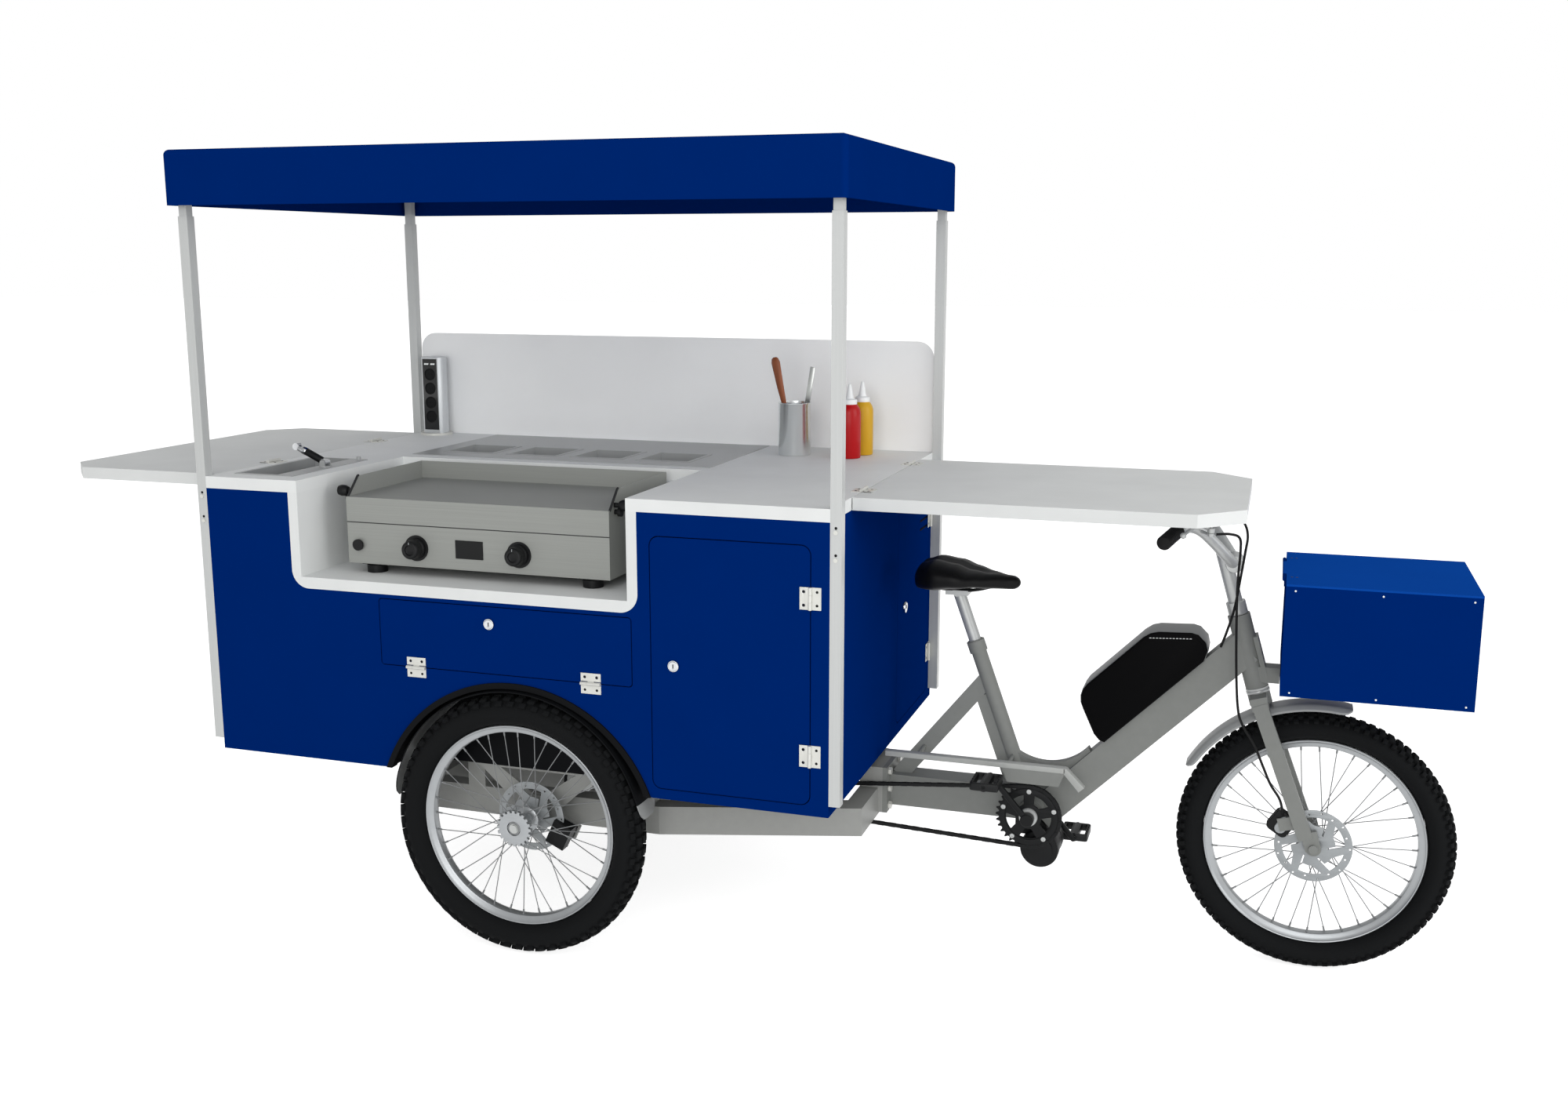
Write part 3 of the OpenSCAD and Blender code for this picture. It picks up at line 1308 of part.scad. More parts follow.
module left_tyre() { color([0.1, 0.1, 0.11]) cart() place_rear(1) tyre_ring(rear_r, rear_tyre_w); }

module right_wheel() {
    color([0.78, 0.79, 0.8]) cart() place_rear(-1) difference() {
        rear_hub();
        translate([0, 0, -100]) cylinder(r = axle_r + 0.15, h = 200);
    }
}

module left_wheel() {
    color([0.78, 0.79, 0.8]) cart() place_rear(1) difference() {
        rear_hub();
        translate([0, 0, -100]) cylinder(r = axle_r + run_fit, h = 200);
    }
}

module axle_shaft() {
    y1 = -rear_chain_y + 46;
    color([0.6, 0.6, 0.61]) cart() {
        drum(axle_x, axle_z, axle_r, -rear_wheel_y - 33, y1);
        drum(axle_x, axle_z, 8, -rear_wheel_y - 35, -rear_wheel_y - 30);
        drum(axle_x, axle_z, axle_ring_r - chain_half - slip, -rear_chain_y - 2, -rear_chain_y + 2);
        drum(axle_x, axle_z, 18, -rear_chain_y - 8, -rear_chain_y + 8);
    }
}

module front_tyre() {
    color([0.1, 0.1, 0.11]) cart() translate([front_x, 0, front_r]) rotate([90, 0, 0]) tyre_ring(front_r, front_tyre_w);
}

fork_axle_r = 5;

module front_wheel() {
    color([0.78, 0.79, 0.8]) cart() translate([front_x, 0, front_r]) rotate([90, 0, 0]) difference() {
        union() {
            rim_and_spokes(24, 22);
            for (z = [-24, 20]) translate([0, 0, z]) cylinder(r = 24, h = 4);
            translate([0, 0, -38]) cylinder(r = 15, h = 76);
            translate([0, 0, 34]) brake_disc();
        }
        translate([0, 0, -100]) cylinder(r = fork_axle_r + run_fit, h = 200);
    }
}

// Drive
pedal_pin = 4;
arm_in = 88;
arm_t = 12;
function crank_end(s) = [bb_x + s * crank_l * cos(crank_angle), bb_z + s * crank_l * sin(crank_angle)];

module crank_arm(s, y0, y1) {
    translate([bb_x, 0, bb_z]) along_y(y0, y1) {
        circle(r = 16);
        rotate([0, 0, crank_angle + (s < 0 ? 180 : 0)]) translate([0, -9]) square([crank_l, 18]);
        translate(crank_end(s) - [bb_x, bb_z]) circle(r = 12);
    }
}

module crankset() {
    r = crank_end(1);
    l = crank_end(-1);
    color([0.15, 0.15, 0.16]) cart() {
        drum(bb_x, bb_z, spindle_r, -arm_in, 64);
        crank_arm(1, -arm_in - arm_t, -arm_in);
        crank_arm(-1, 52, 52 + arm_t);
        drum(r[0], r[1], pedal_pin, -arm_in - arm_t - 80, -arm_in - 2);
        drum(l[0], l[1], pedal_pin, 62, 52 + arm_t + 80);
        translate([bb_x, 0, bb_z]) along_y(-chain_y - 2, -chain_y + 2) difference() {
            circle(r = ring_r - chain_half - slip);
            for (a = [0 : 72 : 288]) rotate([0, 0, a + crank_angle + 36]) translate([38, 0]) circle(r = 14);
        }
        drum(bb_x, bb_z, 18, -arm_in - 2, -chain_y + 6);
    }
}

module pedal(s, y0) {
    p = crank_end(s);
    difference() {
        union() {
            for (x = [-30, 18]) block([p[0] + x, y0, p[1] - 11], [p[0] + x + 12, y0 + 72, p[1] + 11]);
            for (y = [0, 60]) block([p[0] - 28, y0 + y, p[1] - 9], [p[0] + 28, y0 + y + 12, p[1] + 9]);
            drum(p[0], p[1], 8, y0, y0 + 72);
        }
        drum(p[0], p[1], pedal_pin + run_fit, y0 - 20, y0 + 90);
    }
}

module pedal_right() { color([0.1, 0.1, 0.1]) cart() pedal(1, -arm_in - arm_t - 4 - 72); }

module pedal_left() { color([0.1, 0.1, 0.1]) cart() pedal(-1, 52 + arm_t + 4); }

module gear_hub() {
    color([0.6, 0.6, 0.61]) cart() {
        drum(gear_x, gear_z, gear_shaft_r, -rear_chain_y - 26, -30);
        drum(gear_x, gear_z, 22, -rear_chain_y + 12, -chain_y - 10);
        drum(gear_x, gear_z, in_r - chain_half - slip, -chain_y - 2, -chain_y + 2);
        drum(gear_x, gear_z, out_r - chain_half - slip, -rear_chain_y - 2, -rear_chain_y + 2);
        drum(gear_x, gear_z, 12, -rear_chain_y - 14, -48);
    }
}

// Steering
crown_w = -head_l / 2 - 12;
blade_t = 13;
blade_d = 29;
blade_top = crown_w - 14;
blade_u = rake - 10;
blade_foot = axle_w + 21;
mud_r = front_r + 18;

module fork() {
    lean = atan2(blade_u, blade_top - blade_foot);
    len = norm([blade_u, blade_top - blade_foot]);
    color([0.12, 0.12, 0.13]) cart() head_frame() {
        translate([0, 0, crown_w - 24]) cylinder(r = steerer_r, h = head_l / 2 - crown_w + 24 + 1);
        translate([0, 0, crown_w - 24]) cylinder(r = 22, h = 24 + 12 - slip);
        block([-16, -blade_y - blade_t / 2 + 1, crown_w - 26], [16, blade_y + blade_t / 2 - 1, crown_w]);
        both() {
            translate([0, blade_y, blade_top]) rotate([0, 180 - lean, 0])
                translate([-blade_d / 2, -blade_t / 2, 0]) cube([blade_d, blade_t, len]);
            block([rake - 16, blade_y - 5, axle_w - 4], [rake + 14, blade_y + 5, axle_w + 34]);
            drum(rake, axle_w, 15, blade_y - 5, blade_y + 5);
            drum(rake, axle_w, 9, blade_y - 2, blade_y + 11);
        }
        drum(rake, axle_w, fork_axle_r, -blade_y, blade_y);
        translate([rake, 0, axle_w]) rotate([0, head_tilt, 0]) {
            rotate([90, 0, 0]) rotate([0, 0, 80]) rotate_extrude(angle = 70, $fn = 96)
                translate([mud_r, -21]) square([3, 42]);
        }
        block([-14, -8, axle_w + sqrt(mud_r * mud_r - rake * rake) + 1.2], [4, 8, crown_w - 20]);
        difference() {
            translate([rake, 0, axle_w]) rotate([0, -130, 0])
                block([disc_r - 18, -41.5, -22], [disc_r + 20, -25, 22]);
            drum(rake, axle_w, disc_r + 2, -36.5, -31.5);
        }
        translate([rake, 0, axle_w]) block([-54, -blade_y, 44], [-18, -blade_y + blade_t / 2 + 1, 70]);
    }
}

bar_pts = [[2070, 0, 822], [2064, -28, 828], [2021, -75, 881], [2003, -100, 902], [1945, -185, 890]];
bar_ref = [2104, 0, 646];
function bar_pt(i) = bar_pts[i] - bar_ref + [head_x, 0, head_z];
function flip(p) = [p[0], -p[1], p[2]];
grip_dir = unit(bar_pts[4] - bar_pts[3]);
function bar_run(i) = i < 4 ? bar_pt(i) : bar_pt(3) + (i - 3) * 8 * grip_dir;
lever_pin = [2026, -124, 905] - bar_ref + [head_x, 0, head_z];
lever_end = [1977, -192, 902] - bar_ref + [head_x, 0, head_z];
lever_pin_r = 2.5;

module handlebar() {
    clamp = bar_pt(0);
    color([0.7, 0.71, 0.72]) cart() {
        head_frame() {
            translate([0, 0, head_l / 2 + 1]) cylinder(r = 19, h = 26);
            translate([0, 0, head_l / 2 + 1]) cylinder(r = 14, h = 128);
        }
        drum(clamp[0], clamp[2], 17, -26, 26);
        cord(smooth(concat([for (i = [0 : 5]) bar_run(5 - i)], [for (i = [1 : 5]) flip(bar_run(i))]), 4), bar_r - 0.3, 16);
        both() {
            rod(bar_pt(3), bar_pt(4), bar_r);
            rod(bar_pt(3) + 2 * grip_dir, bar_pt(3) + 11 * grip_dir, bar_r + 4);
            rod(bar_pt(3) + 6 * grip_dir, lever_pin - [0, 0, 11], 3.5);
            translate([lever_pin[0], lever_pin[1], lever_pin[2] - 12]) cylinder(r = 6.5, h = 6);
            translate([lever_pin[0], lever_pin[1], lever_pin[2] - 9]) cylinder(r = lever_pin_r, h = 15);
        }
    }
}

module grips() {
    a = bar_pt(4) - (grip_l - 12) * grip_dir;
    b = bar_pt(4) + 10 * grip_dir;
    color([0.1, 0.1, 0.1]) cart() both() difference() {
        rod(a, b, grip_r);
        rod(a - grip_dir, bar_pt(4) + 0.2 * grip_dir, bar_r + 0.15);
    }
}

module brake_lever() {
    difference() {
        union() {
            translate(lever_pin - [0, 0, 5.5]) cylinder(r = 7, h = 9);
            rod(lever_pin, lever_end, 3.8);
            translate(lever_end) sphere(r = 6);
        }
        translate(lever_pin - [0, 0, 20]) cylinder(r = lever_pin_r + run_fit, h = 40);
    }
}

module lever_right() { color([0.75, 0.76, 0.77]) cart() brake_lever(); }

module lever_left() { color([0.75, 0.76, 0.77]) cart() mirror([0, 1, 0]) brake_lever(); }

// Brake cables: one runs down to the front brake, one loops towards the down tube
brake_route = [[2036, -124, 897], [2060, -119, 898], [2078, -108, 890], [2081, -92, 862], [2079, -80, 800],
    [2080, -70, 735], [2085, -62, 625], [2092, -62, 546], [2102, -64, 512], [2128, -66, 470], [2146, -66, 430],
    [2162, -63, 394], [2180, -60, 368]];
down_route = [[2036, 124, 897], [2060, 116, 892], [2082, 84, 852], [2072, 56, 790], [2052, 38, 730], [2048, 26, 690]];

module control_cables() {
    shift = [head_x, 0, head_z] - bar_ref;
    color([0.07, 0.07, 0.08]) cart() {
        cord([for (p = smooth(brake_route, 4)) p + shift], 2.5, 8);
        cord([for (p = smooth(down_route, 4)) p + shift], 2.5, 8);
    }
}

chassis_frame();
cabinet_floor();
side_panel_right();
side_panel_left();
end_panel_rear();
end_panel_front();
worktop();
griddle_bay();
wheel_arches();
rear_mudguards();
back_screen();
post_sleeves();
food_pans();
sink_basin();
fixed_hardware();
utensil_pot();
sauce_bottles();
griddle_body();
griddle_fittings();
bike_frame();
battery();
motor_unit();
chains();
front_box();
rear_calipers();
tap_spout();
power_tower();
knob_left();
knob_right();
igniter_button();
side_door();
side_door_lock();
drop_flap();
flap_lock();
front_door();
front_door_lock();
rear_table();
front_table();
canopy();
inner_posts();
box_lid();
seat_post();
saddle();
front_tyre();
front_wheel();
right_tyre();
right_wheel();
left_tyre();
left_wheel();
axle_shaft();
crankset();
pedal_right();
pedal_left();
gear_hub();
fork();
handlebar();
grips();
lever_right();
lever_left();
control_cables();
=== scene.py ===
"""Looks of the bicycle food cart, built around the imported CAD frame.

Sizes are in cart millimetres: X forward from the cabinet's rear wall, Y to the left, Z up.
"""

import logging
import math
from dataclasses import dataclass
from enum import Enum
from typing import Callable, Iterable, Sequence

import bmesh
import bpy
from mathutils import Euler, Matrix, Vector


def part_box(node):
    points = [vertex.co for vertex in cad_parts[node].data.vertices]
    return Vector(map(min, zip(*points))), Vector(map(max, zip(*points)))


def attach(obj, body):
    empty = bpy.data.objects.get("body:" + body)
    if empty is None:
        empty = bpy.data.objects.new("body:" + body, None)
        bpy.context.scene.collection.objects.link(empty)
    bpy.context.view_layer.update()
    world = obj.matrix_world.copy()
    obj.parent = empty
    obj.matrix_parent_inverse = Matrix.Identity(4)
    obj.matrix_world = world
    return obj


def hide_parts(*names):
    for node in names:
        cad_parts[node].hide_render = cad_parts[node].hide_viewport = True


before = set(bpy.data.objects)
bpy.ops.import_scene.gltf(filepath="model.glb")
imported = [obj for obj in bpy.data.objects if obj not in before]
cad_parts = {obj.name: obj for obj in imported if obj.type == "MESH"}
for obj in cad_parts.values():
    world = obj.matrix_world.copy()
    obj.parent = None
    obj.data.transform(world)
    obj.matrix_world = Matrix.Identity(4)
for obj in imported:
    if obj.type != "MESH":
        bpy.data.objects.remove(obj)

LOG = logging.getLogger("food_cart")
Point = Sequence[float]
Outline = list[tuple[float, float]]
MM = 0.001
REAR_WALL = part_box("end_panel_rear")[0].x
# X and Z of the axles, the cranks and the head tube's middle
FRONT_AXLE = (2249.94, 266.0)
REAR_AXLE = (709.554, 274.0)
CRANK_AXLE = (1691.0, 275.0)
HEAD = (2104.0, 646.0)
HEAD_TILT = 16.5
REAR_TRACK = 430.0
FRONT_TYRE = 62.0
REAR_TYRE = 70.0
WORKTOP_Z = 960.0
ORIGIN = (0, 0, 0)
UP = (0, 0, 1)
FORWARD = (1, 0, 0)
BACK = (-1, 0, 0)
TO_LEFT = (0, 1, 0)
TO_RIGHT = (0, -1, 0)


class Grain(Enum):
    """How a finish breaks up over its surface."""

    FINE = (9.0, (1.0, 1.0, 1.0))
    SOFT = (60.0, (1.0, 1.0, 1.0))
    PEBBLE = (420.0, (1.0, 1.0, 1.0))
    BRUSHED_X = (60.0, (0.05, 8.0, 8.0))
    BRUSHED_Z = (60.0, (8.0, 8.0, 0.05))
    FIBRE = (24.0, (3.0, 3.0, 0.25))


class Side(Enum):
    """The cart's two sides, by the sign of Y."""

    RIGHT = -1
    LEFT = 1


@dataclass(frozen=True)
class Finish:
    """One surface finish: a base colour in screen values and how it takes light."""

    name: str
    slot: str
    colour: tuple[int, int, int]
    roughness: float = 0.5
    metallic: float = 0.0
    coat: float = 0.0
    grain: Grain = Grain.FINE
    spread: float = 0.03
    bump: float = 0.02
    specular: float = 0.5


BLUE = Finish("blue_panel", "panel_blue", (0, 36, 106), 0.6, spread=0.02, specular=0.0)
# Painted sheen: a lighter copy of the panel blue that stands in for the sheen on the box lid's top.
LID_PAINTED_SHEEN = Finish("blue_lid_painted_sheen", "panel_blue", (12, 68, 156), 0.6, spread=0.02, specular=0.0)
NAVY = Finish("navy_inside", "panel_blue", (2, 12, 38), 0.6, specular=0.05)
BOARD = Finish("board_face", "board_grey", (222, 224, 223), 0.5, specular=0.05)
# Painted light: a lighter copy of the board grey that makes up for the shade under the canopy.
WORKTOP_PAINTED_LIGHT = Finish("worktop_board_painted_light", "board_grey", (231, 233, 232), 0.5, specular=0.05)
BAY = Finish("bay_board", "board_grey", (228, 230, 229), 0.5, specular=0.15)
SCREEN = Finish("screen_white", "screen_white", (250, 251, 251), 0.4, specular=0.2)
FRAME = Finish("frame_paint", "frame_grey", (150, 151, 148), 0.45, grain=Grain.SOFT)
FLOOR = Finish("floor_ply", "floor_dark", (24, 26, 30), 0.7, grain=Grain.SOFT)
ARCH = Finish("arch_black", "arch_black", (16, 17, 19), 0.6, grain=Grain.SOFT, specular=0.06)
BIKE = Finish("bike_paint", "frame_grey", (131, 133, 130), 0.5, grain=Grain.SOFT, specular=0.2)
GUARD = Finish("guard_grey", "guard_grey", (150, 152, 152), 0.4, grain=Grain.SOFT)
POST = Finish("post_alu", "post_alu", (196, 198, 197), 0.4, 0.15, grain=Grain.BRUSHED_Z)
STEEL = Finish("stainless", "steel", (176, 178, 176), 0.3, 0.85, grain=Grain.BRUSHED_X, spread=0.05)
PAN = Finish("pan_steel", "steel", (170, 172, 172), 0.36, 0.2, grain=Grain.BRUSHED_X, spread=0.03,
             specular=0.3)
STEEL_DULL = Finish("griddle_steel", "steel", (152, 154, 150), 0.5, 0.15, grain=Grain.BRUSHED_X,
                    spread=0.04, specular=0.2)
STEEL_BRIGHT = Finish("bright_steel", "steel", (228, 231, 231), 0.2, 0.85, grain=Grain.BRUSHED_Z,
                      spread=0.04)
HINGE = Finish("hinge_steel", "hinge_steel", (214, 214, 208), 0.35, 0.25, grain=Grain.SOFT)
CHROME = Finish("chrome", "chrome", (200, 202, 204), 0.14, 1.0, grain=Grain.SOFT)
RED = Finish("bottle_red", "bottle_red", (176, 14, 20), 0.35, coat=0.1, specular=0.2)
YELLOW = Finish("bottle_yellow", "bottle_red", (206, 160, 36), 0.35, coat=0.1, specular=0.2)
NOZZLE = Finish("bottle_cap", "bottle_red", (236, 238, 238), 0.35)
PLASTIC = Finish("black_plastic", "black_plastic", (19, 20, 21), 0.42, grain=Grain.PEBBLE, specular=0.2)
GLOSS = Finish("gloss_black", "black_plastic", (12, 13, 14), 0.22, coat=0.4, grain=Grain.SOFT)
BLACK_METAL = Finish("black_metal", "black_metal", (19, 20, 21), 0.45, grain=Grain.SOFT, specular=0.15)
TOWER = Finish("tower_alu", "tower_grey", (206, 209, 211), 0.32, 0.4, grain=Grain.BRUSHED_Z)
LEATHER = Finish("saddle_cover", "saddle_black", (13, 13, 14), 0.42, grain=Grain.PEBBLE, bump=0.06,
                 specular=0.14)
TYRE = Finish("tyre_rubber", "tyre_black", (22, 23, 24), 0.75, grain=Grain.PEBBLE, bump=0.08, specular=0.06)
ALLOY = Finish("wheel_alloy", "wheel_alu", (164, 167, 169), 0.34, 0.7, grain=Grain.SOFT)
SPOKE = Finish("spoke_steel", "wheel_alu", (128, 130, 131), 0.4, 0.4, grain=Grain.SOFT)
DISC = Finish("disc_steel", "wheel_alu", (152, 156, 158), 0.4, 0.2, grain=Grain.SOFT)
CRANK = Finish("crank_black", "crank_black", (19, 20, 21), 0.45, grain=Grain.SOFT, specular=0.15)
RUBBER = Finish("grip_rubber", "rubber_black", (15, 15, 16), 0.65, grain=Grain.PEBBLE, specular=0.2)
BAR = Finish("bar_alloy", "bar_alu", (186, 188, 187), 0.36, 0.3, grain=Grain.SOFT)
WOOD = Finish("handle_wood", "steel", (140, 74, 38), 0.5, grain=Grain.FIBRE, spread=0.25, bump=0.05)
GUARD_BAR = Finish("guard_bar", "frame_grey", (172, 174, 171), 0.45, grain=Grain.SOFT, specular=0.2)
BATTERY_SIDE = Finish("battery_side", "black_plastic", (7, 7, 8), 0.45, grain=Grain.PEBBLE, specular=0.03)
BATTERY_SHELL = Finish("battery_shell", "black_plastic", (120, 122, 122), 0.45, grain=Grain.SOFT)
EDGE_RUBBER = Finish("edge_rubber", "black_plastic", (30, 31, 32), 0.6, grain=Grain.SOFT)


class Shaders:
    """Builds the shared shader group and one material for each finish."""

    def __init__(self) -> None:
        """Starts with no material made."""
        self.made: dict[str, bpy.types.Material] = {}
        self.group = self.grain_group()

    @staticmethod
    def linear(value: float) -> float:
        """One screen value from 0 to 255 as linear light.

        Args:
            value: the screen value.

        Returns:
            The linear value from 0 to 1.
        """
        c = value / 255
        return c / 12.92 if c <= 0.04045 else ((c + 0.055) / 1.055) ** 2.4

    @staticmethod
    def grain_group() -> bpy.types.ShaderNodeTree:
        """The node group that breaks up a plain colour.

        Returns:
            A group from a colour and a grain to a colour, a roughness and a height.
        """
        tree = bpy.data.node_groups.new("surface_grain", "ShaderNodeTree")
        face = tree.interface
        face.new_socket("Colour", in_out="INPUT", socket_type="NodeSocketColor")
        face.new_socket("Roughness", in_out="INPUT", socket_type="NodeSocketFloat")
        face.new_socket("Scale", in_out="INPUT", socket_type="NodeSocketFloat")
        face.new_socket("Stretch", in_out="INPUT", socket_type="NodeSocketVector")
        face.new_socket("Spread", in_out="INPUT", socket_type="NodeSocketFloat")
        face.new_socket("Colour", in_out="OUTPUT", socket_type="NodeSocketColor")
        face.new_socket("Roughness", in_out="OUTPUT", socket_type="NodeSocketFloat")
        face.new_socket("Height", in_out="OUTPUT", socket_type="NodeSocketFloat")
        new, link = tree.nodes.new, tree.links.new
        start, end = new("NodeGroupInput"), new("NodeGroupOutput")
        place = new("ShaderNodeTexCoord")
        stretch = new("ShaderNodeVectorMath")
        noise = new("ShaderNodeTexNoise")
        stretch.operation = "MULTIPLY"
        noise.inputs["Detail"].default_value = 3.0
        link(place.outputs["Object"], stretch.inputs[0])
        link(start.outputs["Stretch"], stretch.inputs[1])
        link(stretch.outputs[0], noise.inputs["Vector"])
        link(start.outputs["Scale"], noise.inputs["Scale"])
        centred, swing, bright = (new("ShaderNodeMath") for _ in range(3))
        centred.operation, swing.operation, bright.operation = "SUBTRACT", "MULTIPLY", "ADD"
        centred.inputs[1].default_value = 0.5
        bright.inputs[1].default_value = 1.0
        link(noise.outputs[0], centred.inputs[0])
        link(centred.outputs[0], swing.inputs[0])
        link(start.outputs["Spread"], swing.inputs[1])
        double = new("ShaderNodeMath")
        double.operation = "MULTIPLY"
        double.inputs[1].default_value = 4.0
        link(swing.outputs[0], double.inputs[0])
        link(double.outputs[0], bright.inputs[0])
        tint = new("ShaderNodeVectorMath")
        tint.operation = "SCALE"
        link(start.outputs["Colour"], tint.inputs[0])
        link(bright.outputs[0], tint.inputs["Scale"])
        link(tint.outputs[0], end.inputs["Colour"])
        rough = new("ShaderNodeMath")
        rough.operation, rough.use_clamp = "ADD", True
        link(start.outputs["Roughness"], rough.inputs[0])
        link(swing.outputs[0], rough.inputs[1])
        link(rough.outputs[0], end.inputs["Roughness"])
        link(noise.outputs[0], end.inputs["Height"])
        return tree

    def get(self, finish: Finish) -> bpy.types.Material:
        """The material of a finish, made on first use.

        Args:
            finish: the finish to make.

        Returns:
            Its material.
        """
        if finish.name in self.made:
            return self.made[finish.name]
        material = bpy.data.materials.new(finish.name)
        material.use_nodes = True
        tree = material.node_tree
        shader = tree.nodes["Principled BSDF"]
        grain = tree.nodes.new("ShaderNodeGroup")
        grain.node_tree = self.group
        scale, stretch = finish.grain.value
        grain.inputs["Colour"].default_value = (*map(self.linear, finish.colour), 1.0)
        grain.inputs["Roughness"].default_value = finish.roughness
        grain.inputs["Scale"].default_value = scale
        grain.inputs["Stretch"].default_value = stretch
        grain.inputs["Spread"].default_value = finish.spread
        bump = tree.nodes.new("ShaderNodeBump")
        bump.inputs["Strength"].default_value = finish.bump
        bump.inputs["Distance"].default_value = MM
        link = tree.links.new
        link(grain.outputs["Colour"], shader.inputs["Base Color"])
        link(grain.outputs["Roughness"], shader.inputs["Roughness"])
        link(grain.outputs["Height"], bump.inputs["Height"])
        link(bump.outputs["Normal"], shader.inputs["Normal"])
        shader.inputs["Metallic"].default_value = finish.metallic
        shader.inputs["Coat Weight"].default_value = finish.coat
        shader.inputs["Specular IOR Level"].default_value = finish.specular
        material.diffuse_color = (*map(self.linear, finish.colour), 1.0)
        self.made[finish.name] = material
        return material


SHADERS = Shaders()


def cart(point: Point) -> Vector:
    """A point in cart millimetres, in the frame's metres.

    Args:
        point: X, Y and Z in cart millimetres.

    Returns:
        The same point in metres.
    """
    return Vector((REAR_WALL + point[0] * MM, point[1] * MM, point[2] * MM))


def facing(direction: Point, roll: float = 0.0) -> Euler:
    """The turn that points a part's own Z along a direction.

    Args:
        direction: where the part's Z axis goes.
        roll: turn about that axis, in degrees.

    Returns:
        The turn as Euler angles.
    """
    turn = Vector(direction).to_track_quat("Z", "Y").to_matrix()
    return (turn @ Matrix.Rotation(math.radians(roll), 3, "Z")).to_euler()


def arc(cx: float, cy: float, r: float, a0: float, a1: float, n: int) -> Outline:
    """Points along a flat arc.

    Args:
        cx: first coordinate of the centre.
        cy: second coordinate of the centre.
        r: radius.
        a0: first angle in degrees.
        a1: last angle in degrees.
        n: number of steps.

    Returns:
        The points from first angle to last.
    """
    angles = (math.radians(a0 + (a1 - a0) * i / n) for i in range(n + 1))
    return [(cx + r * math.cos(a), cy + r * math.sin(a)) for a in angles]


def circle(cx: float, cy: float, r: float, n: int = 24) -> Outline:
    """A closed round outline."""
    return arc(cx, cy, r, 0, 360, n)[:-1]


def rounded(x0: float, y0: float, x1: float, y1: float, r: float, n: int = 6) -> Outline:
    """A rectangle with round corners, from one corner to the opposite one."""
    return (arc(x1 - r, y1 - r, r, 0, 90, n) + arc(x0 + r, y1 - r, r, 90, 180, n)
            + arc(x0 + r, y0 + r, r, 180, 270, n) + arc(x1 - r, y0 + r, r, 270, 360, n))


def smooth_path(points: Sequence[Point], steps: int = 8) -> list[Vector]:
    """A smooth line through points.

    Args:
        points: the points it passes.
        steps: steps between each two.

    Returns:
        The points of the line.
    """
    p = [Vector(q) for q in points]
    last = len(p) - 1
    out: list[Vector] = []
    for i in range(last):
        a, b, c, d = p[max(i - 1, 0)], p[i], p[i + 1], p[min(i + 2, last)]
        for j in range(steps):
            t = j / steps
            out.append(0.5 * (2 * b + (c - a) * t + (2 * a - 5 * b + 4 * c - d) * t ** 2
                              + (3 * b - a - 3 * c + d) * t ** 3))
    return out + [p[last]]


# Maps of a flat outline's own axes into the cart: across Y, and flat
ACROSS_Y = Matrix(((1, 0, 0), (0, 0, -1), (0, 1, 0))).to_4x4()
FLAT = Matrix.Identity(4)


